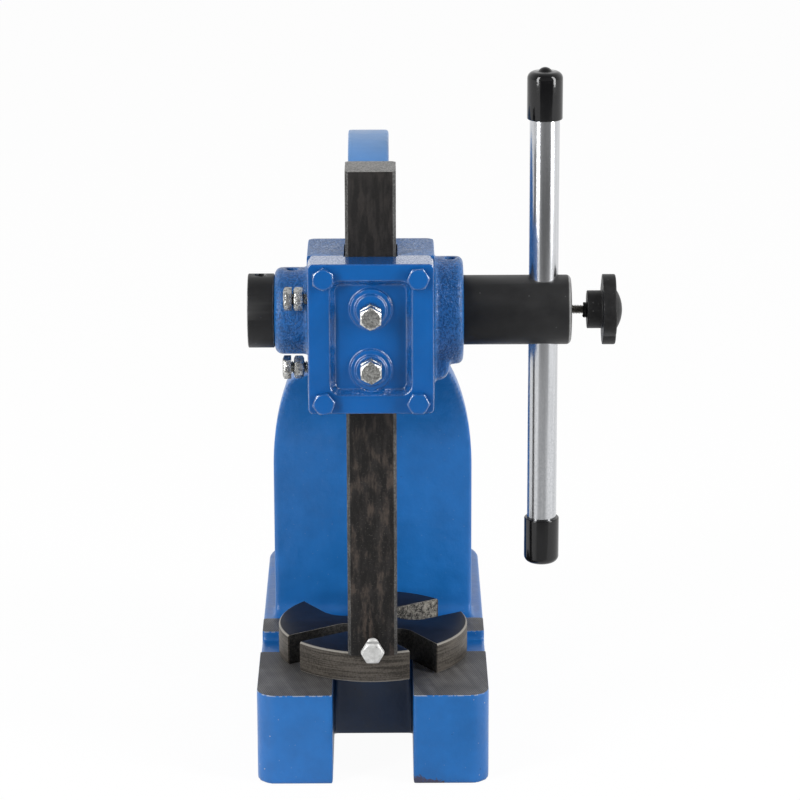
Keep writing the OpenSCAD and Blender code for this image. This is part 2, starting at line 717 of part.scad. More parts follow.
// Grip cap that closes over a bar's end at z = 0 and reaches down from it
module grip_cap(nub) {
    translate([0, 0, cap_end - cap_l]) difference() {
        soft_disc(cap_d/2, cap_l, cap_edge_r);
        translate([0, 0, -cut]) cylinder(d = lever_d, h = cap_l - cap_end + cut);
    }
    if (nub) translate([0, 0, cap_end/2]) soft_disc(nub_d/2, cap_end/2 + nub_h, nub_h/2);
}
module upper_grip_cap() color([0.05, 0.05, 0.06])
    translate([lever_x, shaft_y, shaft_z + lever_up]) grip_cap(true);
module lower_grip_cap() color([0.05, 0.05, 0.06])
    translate([lever_x, shaft_y, shaft_z - lever_down]) mirror([0, 0, 1]) grip_cap(false);

module clamp_stud() color([0.55, 0.55, 0.55])
    translate([lever_x + lever_d/2 + thread_gap, shaft_y, shaft_z]) to_right()
        cylinder(d = stud_d, h = lever_inset - lever_d/2 + stud_bare + stud_grip - 2*thread_gap);
module clamp_knob() color([0.16, 0.16, 0.17])
    translate([hub_end + stud_bare, shaft_y, shaft_z]) to_right() difference() {
        union() {
            cylinder(d = neck_d, h = neck_l + cut);
            lobe_r = lobe_share*lobe_d/2;
            translate([0, 0, neck_l]) for (k = [0:lobes - 1]) rotate(k*360/lobes)
                translate([lobe_d/2 - lobe_r, 0, 0]) soft_disc(lobe_r, lobe_t, lobe_edge_r);
            // Dome, cut from a sphere through its rim and its crown
            rim_r = dome_d/2;
            dome_r = (rim_r*rim_r + dome_h*dome_h)/(2*dome_h);
            translate([0, 0, neck_l + lobe_t + dome_h - dome_r]) rotate_extrude() intersection() {
                circle(dome_r);
                translate([0, dome_r - dome_h - cut]) square([dome_r, dome_h + cut]);
            }
        }
        translate([0, 0, -cut]) cylinder(r = stud_d/2 + thread_gap, h = stud_grip + cut);
    }

module anvil_plate() color([0.2, 0.19, 0.19]) difference() {
    translate([0, plate_y, base_h]) rotate_extrude() polygon([
        [0, 0],
        [plate_d/2 - plate_chamfer, 0],
        [plate_d/2, plate_chamfer],
        [plate_d/2, plate_t - plate_chamfer],
        [plate_d/2 - plate_chamfer, plate_t],
        [0, plate_t]]);
    for (i = [0:len(slot_angles) - 1]) translate([0, plate_y, base_h - cut]) rotate(slot_angles[i]) {
        w = slot_widths[i];
        start = slot_ends[i] + w/2;
        translate([start, -w/2, 0]) cube([plate_d, w, plate_t + 2*cut]);
        translate([start, 0, 0]) cylinder(d = w, h = plate_t + 2*cut);
    }
}

frame_casting();
cover_plate();
cover_bolts();
front_gib();
side_gib();
front_screw_upper();
front_screw_lower();
front_nut_upper();
front_nut_lower();
side_screw_upper();
side_screw_lower();
side_nut_upper();
side_nut_lower();
ram();
tool_clamp_bolt();
pinion_shaft();
shaft_collar();
collar_set_screw();
lever_bar();
upper_grip_cap();
lower_grip_cap();
clamp_stud();
clamp_knob();
anvil_plate();
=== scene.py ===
"""Bench arbor press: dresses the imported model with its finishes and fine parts, and sets its studio."""

import json
import math
from functools import reduce

import bmesh
import bpy
from bpy.props import FloatProperty, FloatVectorProperty, PointerProperty
from mathutils import Matrix, Vector

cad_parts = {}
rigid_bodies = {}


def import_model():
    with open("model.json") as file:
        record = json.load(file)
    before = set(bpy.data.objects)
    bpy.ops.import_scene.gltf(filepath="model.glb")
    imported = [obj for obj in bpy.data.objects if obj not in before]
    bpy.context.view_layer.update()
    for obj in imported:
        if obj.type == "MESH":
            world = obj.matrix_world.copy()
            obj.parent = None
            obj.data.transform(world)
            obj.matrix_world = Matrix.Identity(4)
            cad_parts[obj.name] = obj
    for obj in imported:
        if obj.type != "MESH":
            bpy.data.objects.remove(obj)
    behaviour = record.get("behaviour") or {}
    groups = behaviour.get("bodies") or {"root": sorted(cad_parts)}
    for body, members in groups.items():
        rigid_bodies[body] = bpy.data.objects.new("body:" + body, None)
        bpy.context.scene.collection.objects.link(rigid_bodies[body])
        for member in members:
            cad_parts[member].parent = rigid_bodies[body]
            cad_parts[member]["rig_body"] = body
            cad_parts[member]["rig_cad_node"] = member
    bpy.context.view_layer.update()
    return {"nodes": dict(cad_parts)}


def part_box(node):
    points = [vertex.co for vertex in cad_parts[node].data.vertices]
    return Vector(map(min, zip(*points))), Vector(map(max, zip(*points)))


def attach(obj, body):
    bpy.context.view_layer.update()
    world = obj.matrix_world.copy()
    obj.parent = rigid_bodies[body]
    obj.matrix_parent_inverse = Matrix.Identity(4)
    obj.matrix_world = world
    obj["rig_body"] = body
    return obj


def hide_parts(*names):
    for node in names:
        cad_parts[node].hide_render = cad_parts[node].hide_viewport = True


bl_info = {
    "name": "Bench Arbor Press",
    "version": (1, 0, 0),
    "blender": (4, 5, 0),
    "location": "View3D > Sidebar > Arbor Press",
    "description": "Finishes, fine parts and studio of a bench arbor press",
    "category": "Object",
}

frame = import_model()
MM = 0.001


def low(node):
    """Lowest corner of a node."""
    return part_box(node)[0]


def high(node):
    """Highest corner of a node."""
    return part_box(node)[1]


def middle(node):
    """Middle of a node's box."""
    return (low(node) + high(node)) / 2


def seen_along(node, axis):
    """A node's points seen from its middle, turned so that the axis is Z, as stand() turns it back."""
    turn = Vector(axis).to_track_quat("Z", "Y").inverted()
    centre = middle(node)
    return [turn @ (vertex.co - centre) for vertex in frame["nodes"][node].data.vertices]


# Places that the pieces share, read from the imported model
SHAFT = Vector((0, middle("shaft_collar").y, middle("shaft_collar").z))
LEVER_X = middle("lever_bar").x
PLATE_Y = middle("anvil_plate").y
BASE_TOP = low("anvil_plate").z
SLOT_END = low("frame_casting").y + 91 * MM
STRIP_REAR = -14 * MM
JOINT_Y = high("cover_plate").y
COVER_LAP = 1.2 * MM
HEAD_LOW = low("cover_plate").z + COVER_LAP
HEAD_TOP = high("cover_plate").z
HEAD_REAR = middle("ram").y + 35 * MM

# Sizes of the fine shapes: the flat end of a hex head is a share of its width across flats
HEX_FLATS = high("tool_clamp_bolt").z - low("tool_clamp_bolt").z
HEX_FACE = 0.44 * HEX_FLATS
OVERLAP = 0.5 * MM
CHANNEL_GAP = 0.1 * MM
MOUTH_GAP = 0.9 * MM
MOUTH_DEPTH = 4 * MM
CAP_END = 2.4 * MM
CAP_EDGE = 4.5 * MM
CAP_LIP = 0.8 * MM
NUB_R = 4.5 * MM
FLASH_R = 4.4 * MM
SHANK_R = 3.9 * MM

# Ways of modelling: directions, how squarely a face looks along one, sides of a circle, doubles
UP = (0, 0, 1)
DOWN = (0, 0, -1)
FORWARD = (0, -1, 0)
BACK = (0, 1, 0)
LEFT = (-1, 0, 0)
RIGHT = (1, 0, 0)
SQUARELY = 0.99
ROUND = 96
DOUBLES = 0.002 * MM

# The camera's place and turn, fitted to the photograph, the floor's radius and the soft boxes
CAMERA_PLACE = (0.00944, -2.3023, 0.86827)
CAMERA_TILT = -0.278
CAMERA_PAN = -0.004
CAMERA_ROLL = -0.003
SENSOR = 36
FLOOR_R = 9
BOX_AIM = Vector((0, -0.1, 0.7))
BOX_DISTANCE = 1.7
BOX_HEIGHT = 1.15
BOX_WIDE = 0.45
BOX_TALL = 2.0


# Settings that a user would change

class PressFinish(bpy.types.PropertyGroup):
    """Colours of the press's finishes."""
    paint: FloatVectorProperty(name="Casting paint", description="Colour of the painted casting",
        subtype="COLOR", size=3, min=0, max=1, default=(0.008, 0.12, 0.38))
    cover_paint: FloatVectorProperty(name="Cover paint", description="Colour of the painted cover",
        subtype="COLOR", size=3, min=0, max=1, default=(0.002, 0.09, 0.325))
    oxide: FloatVectorProperty(name="Black oxide", description="Colour of the ram and the shaft",
        subtype="COLOR", size=3, min=0, max=1, default=(0.0125, 0.011, 0.0105))
    iron: FloatVectorProperty(name="Turned iron", description="Colour of the turned iron",
        subtype="COLOR", size=3, min=0, max=1, default=(0.1, 0.088, 0.075))


class PressShape(bpy.types.PropertyGroup):
    """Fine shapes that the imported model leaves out."""
    casting_voxel: FloatProperty(name="Casting softness",
        description="Grain at which the casting's edges melt", unit="LENGTH",
        min=0.8 * MM, max=3 * MM, default=1.2 * MM)
    cover_voxel: FloatProperty(name="Cover softness", description="Grain at which the cover's edges melt",
        unit="LENGTH", min=0.3 * MM, max=1.5 * MM, default=0.55 * MM)
    pitch: FloatProperty(name="Thread pitch", description="Pitch of the screws' threads",
        unit="LENGTH", min=0.5 * MM, max=2 * MM, default=1.25 * MM)
    stud_pitch: FloatProperty(name="Stud pitch", description="Pitch of the clamp stud's thread",
        unit="LENGTH", min=0.5 * MM, max=1.5 * MM, default=1 * MM)
    stock: FloatProperty(name="Machining stock", description="Iron left on the faces that are milled",
        unit="LENGTH", min=0.5 * MM, max=3 * MM, default=1.5 * MM)


class PressStudio(bpy.types.PropertyGroup):
    """Camera and light."""
    lens: FloatProperty(name="Lens", description="Focal length on a 36 mm sensor", unit="CAMERA",
        min=20, max=400, default=160.08)
    world_level: FloatProperty(name="Room light", description="Strength of the room's light",
        min=0, max=2, default=1.0)
    box_level: FloatProperty(name="Soft boxes", description="Brightness of the two tall soft boxes",
        min=0, max=50, default=11.5)


# Small tools that the pieces share

def clear():
    """Leaves edit mode and deselects everything."""
    if bpy.context.mode != "OBJECT":
        bpy.ops.object.mode_set(mode="OBJECT")
    bpy.ops.object.select_all(action="DESELECT")


def take(obj):
    """Makes one object the only selected and active one."""
    clear()
    obj.select_set(True)
    bpy.context.view_layer.objects.active = obj


def named(name):
    """Names the new primitive and puts its place and size into its mesh."""
    obj = bpy.context.object
    obj.name = name
    obj.data.name = name
    bpy.ops.object.transform_apply(location=True, rotation=True, scale=True)
    return obj


def pick(obj, kind, test):
    """Enters edit mode on obj with only the faces, edges or verts that pass the test selected."""
    take(obj)
    bpy.ops.object.mode_set(mode="EDIT")
    bpy.ops.mesh.select_mode(type=kind)
    bpy.ops.mesh.select_all(action="DESELECT")
    mesh = bmesh.from_edit_mesh(obj.data)
    parts = {"VERT": mesh.verts, "EDGE": mesh.edges, "FACE": mesh.faces}[kind]
    for part in parts:
        part.select_set(bool(test(part)))
    mesh.select_flush_mode()
    bmesh.update_edit_mesh(obj.data)


def looks(face, way):
    """True for a face that looks along a direction."""
    return face.normal.dot(Vector(way)) > SQUARELY


def on(face, axis, place):
    """True for a face that lies at a place along an axis."""
    return abs(face.calc_center_median()[axis] - place) < 0.05 * MM


def leave():
    """Leaves edit mode."""
    bpy.ops.object.mode_set(mode="OBJECT")


def apply(obj, kind, **values):
    """Adds a modifier to obj and applies it."""
    take(obj)
    modifier = obj.modifiers.new(kind.lower(), kind)
    for key, value in values.items():
        setattr(modifier, key, value)
    bpy.ops.object.modifier_apply(modifier=modifier.name)


def block(name, lo, hi):
    """Cube primitive between two corners."""
    clear()
    lo, hi = Vector(lo), Vector(hi)
    bpy.ops.mesh.primitive_cube_add(size=1, location=(lo + hi) / 2, scale=hi - lo)
    return named(name)


def rod(name, place, axis, radius, length, sides=ROUND):
    """Cylinder primitive whose first end is at place and whose length runs along axis."""
    clear()
    axis = Vector(axis)
    turn = axis.to_track_quat("Z", "Y").to_euler()
    bpy.ops.mesh.primitive_cylinder_add(vertices=sides, radius=radius, depth=length,
        location=Vector(place) + axis * length / 2, rotation=turn)
    return named(name)


def cut(obj, tool, solver="EXACT"):
    """Cuts a tool piece out of obj and removes the tool."""
    apply(obj, "BOOLEAN", operation="DIFFERENCE", object=tool, solver=solver)
    take(tool)
    bpy.ops.object.delete()


def unite(obj, *others):
    """Joins other meshes into obj."""
    take(obj)
    for other in others:
        other.select_set(True)
    bpy.ops.object.join()
    return obj


def stand(obj, place, axis):
    """Turns a piece made along +Z from the origin so that it points along axis from place."""
    take(obj)
    turn = Vector(axis).to_track_quat("Z", "Y").to_matrix().to_4x4()
    obj.matrix_world = Matrix.Translation(place) @ turn
    bpy.ops.object.transform_apply(location=True, rotation=True, scale=True)


def lift(obj, distance):
    """Moves a piece that stands along +Z up or down."""
    take(obj)
    obj.location.z = distance
    bpy.ops.object.transform_apply(location=True, rotation=False, scale=False)
    return obj


def weld(obj):
    """Enters edit mode on all of obj and merges its doubles."""
    take(obj)
    bpy.ops.object.mode_set(mode="EDIT")
    bpy.ops.mesh.select_all(action="SELECT")
    bpy.ops.mesh.remove_doubles(threshold=DOUBLES)


def extrude(height):
    """Extrudes the selected faces along Z."""
    bpy.ops.mesh.extrude_region_move(TRANSFORM_OT_translate={"value": (0, 0, height)})


def break_edges(obj, width, angle, segments=2):
    """Bevels the edges that are sharper than an angle."""
    apply(obj, "BEVEL", width=width, segments=segments, limit_method="ANGLE",
        angle_limit=math.radians(angle))


def thread(name, radius, length, pitch):
    """Closed rod along +Z from the origin with a helical thread whose crests reach the radius."""
    clear()
    # One V of the thread: a triangle that loses its inner edge
    reach = pitch / math.sqrt(3)
    bpy.ops.mesh.primitive_circle_add(vertices=3, radius=reach, location=(radius - reach, 0, 0),
        rotation=(0, -math.pi / 2, -math.pi / 2))
    piece = named(name)
    inner = min(vertex.co.x for vertex in piece.data.vertices) + 0.01 * MM
    pick(piece, "EDGE", lambda edge: all(vertex.co.x < inner for vertex in edge.verts))
    bpy.ops.mesh.delete(type="EDGE")
    leave()
    turns = math.ceil(length / pitch) + 2
    apply(piece, "SCREW", axis="Z", angle=2 * math.pi, screw_offset=pitch, iterations=turns,
        steps=24, render_steps=24, use_merge_vertices=True, merge_threshold=0.005 * MM)
    lift(piece, -pitch)
    trim(piece, (0, 0, 0), DOWN)
    trim(piece, (0, 0, length), UP)
    weld(piece)
    bpy.ops.mesh.normals_make_consistent(inside=False)
    leave()
    return piece


def trim(obj, place, normal, test=lambda face: True):
    """Cuts off what lies past a plane, among the faces that pass the test, and closes the cut."""
    pick(obj, "FACE", test)
    bpy.ops.mesh.bisect(plane_co=place, plane_no=normal, use_fill=True, clear_outer=True,
        threshold=0.001 * MM)
    leave()


def hexagon(name, thick, turn, both=False):
    """Hex head along +Z from the origin, its corners turned off at the outer end, or a nut's at both."""
    corner = HEX_FLATS / math.sqrt(3)
    slope = (corner - HEX_FACE) * math.tan(math.radians(30))
    foot = slope if both else 0
    head = rod(name, (0, 0, foot), UP, corner, thick - slope - foot)
    for way in (UP, DOWN) if both else (UP,):
        pick(head, "FACE", lambda face: looks(face, way))
        extrude(slope * way[2])
        bpy.ops.transform.resize(value=(HEX_FACE / corner, HEX_FACE / corner, 1))
        leave()
    for side in range(6):
        angle = turn + math.pi / 6 + side * math.pi / 3
        normal = Vector((math.cos(angle), math.sin(angle), 0))
        trim(head, normal * HEX_FLATS / 2, normal)
    break_edges(head, 0.12 * MM, 45)
    return head


def screw(name, node, axis, pitch):
    """Turned hex head and threaded shank, in the place of a packed screw."""
    points = seen_along(node, axis)
    wide = [point for point in points if point.xy.length > 0.75 * HEX_FLATS / 2]
    foot = min(point.z for point in wide)
    top = max(point.z for point in wide)
    tip = min(point.z for point in points)
    shank_r = max(point.xy.length for point in points if point.z < foot - OVERLAP)
    corner = max(wide, key=lambda point: point.xy.length)
    head = lift(hexagon(name, top - foot, math.atan2(corner.y, corner.x)), foot)
    unite(head, lift(thread("shank", shank_r, foot - tip + OVERLAP, pitch), tip))
    stand(head, middle(node), axis)
    return head


def nut(name, node, axis):
    """Hex nut turned at both ends, in the place of a packed nut."""
    points = seen_along(node, axis)
    foot = min(point.z for point in points)
    top = max(point.z for point in points)
    bore = min(point.xy.length for point in points)
    corner = max(points, key=lambda point: point.xy.length)
    piece = hexagon(name, top - foot, math.atan2(corner.y, corner.x), both=True)
    pick(piece, "FACE", lambda face: abs(face.normal.z) > SQUARELY)
    bpy.ops.mesh.inset(thickness=HEX_FACE - bore)
    bpy.ops.mesh.bridge_edge_loops()
    leave()
    lift(piece, foot)
    stand(piece, middle(node), axis)
    return piece


def twin(node, name):
    """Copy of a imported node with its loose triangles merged."""
    clear()
    source = frame["nodes"][node]
    obj = source.copy()
    obj.data = source.data.copy()
    obj.parent = None
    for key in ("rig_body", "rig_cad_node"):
        del obj[key]
    bpy.context.scene.collection.objects.link(obj)
    obj.name = obj.data.name = name
    weld(obj)
    leave()
    return obj


def soften(obj, voxel, rounds, share):
    """Gives a piece the rounded edges and fillets of a casting."""
    apply(obj, "REMESH", mode="VOXEL", voxel_size=voxel)
    apply(obj, "SMOOTH", factor=0.5, iterations=rounds)
    apply(obj, "DECIMATE", ratio=share)


def coat(obj, finish):
    """Gives an object one of the finishes alone."""
    obj.data.materials.clear()
    obj.data.materials.append(bpy.data.materials[finish])


def settle(obj, finish, angle, body, node):
    """Coats a piece, smooths it up to an angle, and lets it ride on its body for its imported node."""
    coat(obj, finish)
    take(obj)
    bpy.ops.object.shade_smooth_by_angle(angle=math.radians(angle))
    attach(obj, body)
    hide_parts(node)


# Node trees

def put(tree, kind, values=None, **props):
    """Adds a node, sets its properties, and sets or links its inputs."""
    node = tree.nodes.new("ShaderNode" + kind)
    for key, value in props.items():
        setattr(node, key, value)
    for key, value in (values or {}).items():
        if isinstance(value, bpy.types.NodeSocket):
            tree.links.new(value, node.inputs[key])
        else:
            node.inputs[key].default_value = value
    return node


def calc(tree, operation, a, b=0.0):
    """Math node."""
    return put(tree, "Math", {0: a, 1: b}, operation=operation).outputs[0]


def times(tree, *values):
    """Product of values."""
    return reduce(lambda a, b: calc(tree, "MULTIPLY", a, b), values)


def plus(tree, *values):
    """Sum of values."""
    return reduce(lambda a, b: calc(tree, "ADD", a, b), values)


def blend(tree, factor, a, b):
    """Colour mix."""
    return put(tree, "Mix", {"Factor": factor, 6: a, 7: b}, data_type="RGBA").outputs[2]


def span(tree, value, a, b, c=0.0, d=1.0):
    """Maps a value from a..b to c..d, clamped."""
    return put(tree, "MapRange", {"Value": value, "From Min": a, "From Max": b,
        "To Min": c, "To Max": d}).outputs[0]


def local(tree):
    """Object coordinates, in metres."""
    return put(tree, "TexCoord").outputs["Object"]


def stretch(tree, vector, scale, turn=(0, 0, 0)):
    """Scales and turns coordinates."""
    return put(tree, "Mapping", {"Vector": vector, "Scale": scale, "Rotation": turn}).outputs[0]


def noise(tree, vector, scale, detail=3.0, rough=0.55):
    """Noise value around 0.5."""
    return put(tree, "TexNoise", {"Vector": vector, "Scale": scale, "Detail": detail,
        "Roughness": rough}).outputs[0]


def new_group(name, sizes, outputs):
    """Empty node group that takes a vector and sizes and gives values, and its two ends."""
    tree = bpy.data.node_groups.new(name, "ShaderNodeTree")
    tree.interface.new_socket("Vector", in_out="INPUT", socket_type="NodeSocketVector")
    for label, value in sizes.items():
        socket = tree.interface.new_socket(label, in_out="INPUT", socket_type="NodeSocketFloat")
        socket.default_value = value
    for label in outputs:
        tree.interface.new_socket(label, in_out="OUTPUT", socket_type="NodeSocketFloat")
    return tree, tree.nodes.new("NodeGroupInput").outputs, tree.nodes.new("NodeGroupOutput").inputs


def grain_group():
    """Cast grain: lumps, fine grit and a colour mottle."""
    tree, g, out = new_group("cast_grain",
        {"Lump Size": 4 * MM, "Grit Size": 0.9 * MM, "Grit Share": 0.4}, ("Height", "Mottle"))
    lumps = noise(tree, g["Vector"], calc(tree, "DIVIDE", 1.0, g["Lump Size"]), 2.0)
    grit = noise(tree, g["Vector"], calc(tree, "DIVIDE", 1.0, g["Grit Size"]), 3.0, 0.6)
    both = put(tree, "Mix", {"Factor": g["Grit Share"], 2: lumps, 3: grit}, data_type="FLOAT").outputs[0]
    tree.links.new(both, out["Height"])
    tree.links.new(noise(tree, g["Vector"], 38.0, 4.0, 0.6), out["Mottle"])


def specks_group():
    """Small round specks, scattered one to a cell, with a chance of none."""
    tree, g, out = new_group("specks", {"Spacing": 6 * MM, "Size": 0.08, "Chance": 0.3}, ("Mask",))
    cells = put(tree, "TexVoronoi", {"Vector": g["Vector"],
        "Scale": calc(tree, "DIVIDE", 1.0, g["Spacing"]), "Randomness": 1.0})
    wobble = times(tree, noise(tree, g["Vector"], 900.0, 2.0), 0.12)
    near = plus(tree, cells.outputs["Distance"], wobble)
    dot = calc(tree, "LESS_THAN", near, plus(tree, g["Size"], 0.06))
    draw = put(tree, "SeparateColor", {0: cells.outputs["Color"]}).outputs[0]
    chosen = calc(tree, "LESS_THAN", draw, g["Chance"])
    tree.links.new(times(tree, dot, chosen), out["Mask"])


def lines_group():
    """Tool marks: fine lines across the X of the given coordinates."""
    tree, g, out = new_group("tool_lines", {"Pitch": 0.6 * MM}, ("Height", "Tone"))
    scale = calc(tree, "DIVIDE", 1.0, g["Pitch"])
    thin = stretch(tree, g["Vector"], (1, 0.03, 0.03))
    tree.links.new(noise(tree, thin, scale, 2.0, 0.5), out["Height"])
    tree.links.new(noise(tree, thin, times(tree, scale, 0.22), 3.0, 0.6), out["Tone"])


def group(tree, name, values):
    """Places a shared group."""
    return put(tree, "Group", values, node_tree=bpy.data.node_groups[name]).outputs


def cast_grain(tree, vector, lump, grit, share):
    """Height and mottle of a cast surface."""
    return group(tree, "cast_grain", {"Vector": vector, "Lump Size": lump, "Grit Size": grit,
        "Grit Share": share})


def specks(tree, vector, spacing, size, chance):
    """Mask of scattered specks."""
    return group(tree, "specks", {"Vector": vector, "Spacing": spacing, "Size": size,
        "Chance": chance})["Mask"]


def tool_lines(tree, vector, pitch):
    """Height and tone of tool marks."""
    return group(tree, "tool_lines", {"Vector": vector, "Pitch": pitch})


def finish_of(name, **constants):
    """New material's tree, and its Principled shader with plain values set on it."""
    material = bpy.data.materials.new(name)
    material.use_nodes = True
    tree = material.node_tree
    shader = tree.nodes["Principled BSDF"]
    for key, value in constants.items():
        shader.inputs[key.replace("_", " ")].default_value = value
    return tree, shader


def join(tree, shader, **sockets):
    """Links sockets to the shader's inputs."""
    for key, socket in sockets.items():
        tree.links.new(socket, shader.inputs[key.replace("_", " ")])


def bump(tree, height, distance, strength):
    """Bump normal from a height."""
    return put(tree, "Bump", {"Height": height, "Distance": distance, "Strength": strength}).outputs[0]


def rgba(colour, gain):
    """A setting's colour, lighter or darker."""
    return tuple(min(1.0, c * gain) for c in colour) + (1.0,)


def split(tree, vector):
    """X, Y and Z of a vector."""
    return put(tree, "SeparateXYZ", {0: vector}).outputs


def facing(tree, axis):
    """How squarely the surface faces along an axis, either way."""
    return calc(tree, "ABSOLUTE", split(tree, put(tree, "NewGeometry").outputs["Normal"])[axis])


def cast_paint():
    """Blue enamel over cast iron: rough on the head, smoother on the base, chipped at the edges."""
    paint = bpy.context.scene.press_finish.paint
    tree, shader = finish_of("cast_paint", Specular_IOR_Level=0.5, Coat_Roughness=0.14,
        Coat_IOR=1.6)
    place = local(tree)
    x, y, z = split(tree, place)
    side = calc(tree, "ABSOLUTE", x)
    # Heights and places, in metres, at which the paint changes
    neck, hump, hump_front = (0.235, 0.25), (0.372, 0.4), (HEAD_REAR, HEAD_REAR + 10 * MM)
    base_side, base_height, pad_rear = (0.058, 0.072), (0.065, 0.055), (-0.01, -0.02)
    slot_side, slot_front = (0.0275, 0.0262), (-0.158, -0.154)
    foot_inner, foot_outer, foot_rear = 0.02, 0.0465, -0.155
    rough = times(tree, span(tree, z, *neck), span(tree, y, HEAD_REAR + 5 * MM, HEAD_REAR + MM))
    grain = cast_grain(tree, place, lump=1.7 * MM, grit=1 * MM, share=0.45)
    waves = noise(tree, place, 110.0, 3.0, 0.5)
    ragged = noise(tree, place, 420.0, 4.0, 0.65)
    colour = blend(tree, span(tree, grain["Mottle"], 0.35, 0.65), rgba(paint, 0.9), rgba(paint, 1.1))
    pits = times(tree, rough, span(tree, grain["Height"], 0.54, 0.42))
    colour = blend(tree, times(tree, pits, 0.75), colour, rgba(paint, 0.4))
    # Grit that shows through, mostly along the base's outer edges
    rim = plus(tree, times(tree, span(tree, side, *base_side), span(tree, z, *base_height)), 0.12)
    grit = specks(tree, place, spacing=3.2 * MM, size=0.12, chance=0.6)
    shows = times(tree, grit, rim, span(tree, ragged, 0.49, 0.56))
    colour = blend(tree, shows, colour, (0.5, 0.48, 0.43, 1))
    dark = specks(tree, stretch(tree, place, (1, 1, 1), (0.4, 0.2, 0.9)),
        spacing=11 * MM, size=0.045, chance=0.3)
    colour = blend(tree, times(tree, dark, 0.7), colour, (0.008, 0.02, 0.06, 1))
    # Painted reflection: the hump's top is painted paler, for the white backdrop's sheen at a grazing angle
    hump_sheen = times(tree, span(tree, z, *hump), span(tree, y, *hump_front), 0.45)
    colour = blend(tree, hump_sheen, colour, (0.26, 0.4, 0.58, 1))
    # Paint broken along the milled edges
    off_top = calc(tree, "ABSOLUTE", calc(tree, "SUBTRACT", z, BASE_TOP))
    broken = times(tree, span(tree, off_top, 0.9 * MM, 0.3 * MM), span(tree, y, *pad_rear),
        span(tree, ragged, 0.46, 0.54))
    colour = blend(tree, times(tree, broken, 0.75), colour, (0.36, 0.38, 0.4, 1))
    # Primer bared at the foot of the right leg
    torn = plus(tree, times(tree, ragged, 0.011), -0.0002)
    slant = plus(tree, z, times(tree, calc(tree, "SUBTRACT", x, 0.026), 0.18))
    chip = times(tree, calc(tree, "LESS_THAN", slant, torn), calc(tree, "GREATER_THAN", x, foot_inner),
        calc(tree, "LESS_THAN", x, foot_outer), calc(tree, "LESS_THAN", y, foot_rear))
    colour = blend(tree, chip, colour, (0.042, 0.045, 0.09, 1))
    # Painted shade: the slot's inner walls are painted darker, for the shade inside the slot
    slot_shade = times(tree, span(tree, side, *slot_side), span(tree, y, *slot_front),
        span(tree, y, SLOT_END, SLOT_END - MM), span(tree, z, BASE_TOP, BASE_TOP - 0.5 * MM))
    colour = blend(tree, times(tree, slot_shade, 0.72), colour, (0.003, 0.008, 0.02, 1))
    relief = times(tree, grain["Height"], span(tree, rough, 0, 1, 0.1, 1.1))
    height = plus(tree, relief, times(tree, waves, 0.6))
    normal = bump(tree, height, 0.9 * MM, 0.8)
    join(tree, shader, Base_Color=colour, Roughness=span(tree, grain["Mottle"], 0.3, 0.7, 0.28, 0.4),
        Coat_Weight=times(tree, rough, span(tree, grain["Height"], 0.54, 0.64)),
        Normal=normal, Coat_Normal=normal)


def cover_paint():
    """Smooth glossy enamel of the cover and its bolts, gritty on the slopes."""
    paint = bpy.context.scene.press_finish.cover_paint
    tree, shader = finish_of("cover_paint", Specular_IOR_Level=0.5, Coat_Roughness=0.06,
        Coat_IOR=2.1)
    place = local(tree)
    slope = span(tree, facing(tree, "Y"), 0.98, 0.8)
    grain = cast_grain(tree, place, lump=6 * MM, grit=0.9 * MM, share=0.2)
    grit = noise(tree, place, 900.0, 3.0, 0.6)
    colour = blend(tree, span(tree, grain["Mottle"], 0.35, 0.65), rgba(paint, 0.94), rgba(paint, 1.06))
    # Darker flecks on the slopes, the faces turned away from the front
    slope_flecks = times(tree, slope, span(tree, grit, 0.54, 0.44))
    colour = blend(tree, times(tree, slope_flecks, 0.5), colour, rgba(paint, 0.35))
    height = plus(tree, times(tree, grain["Height"], 0.5), times(tree, grit, slope, 1.1))
    join(tree, shader, Base_Color=colour, Roughness=span(tree, grain["Mottle"], 0.3, 0.7, 0.14, 0.24),
        Coat_Weight=times(tree, slope, span(tree, grit, 0.38, 0.5)),
        Normal=bump(tree, height, 0.5 * MM, 0.5))


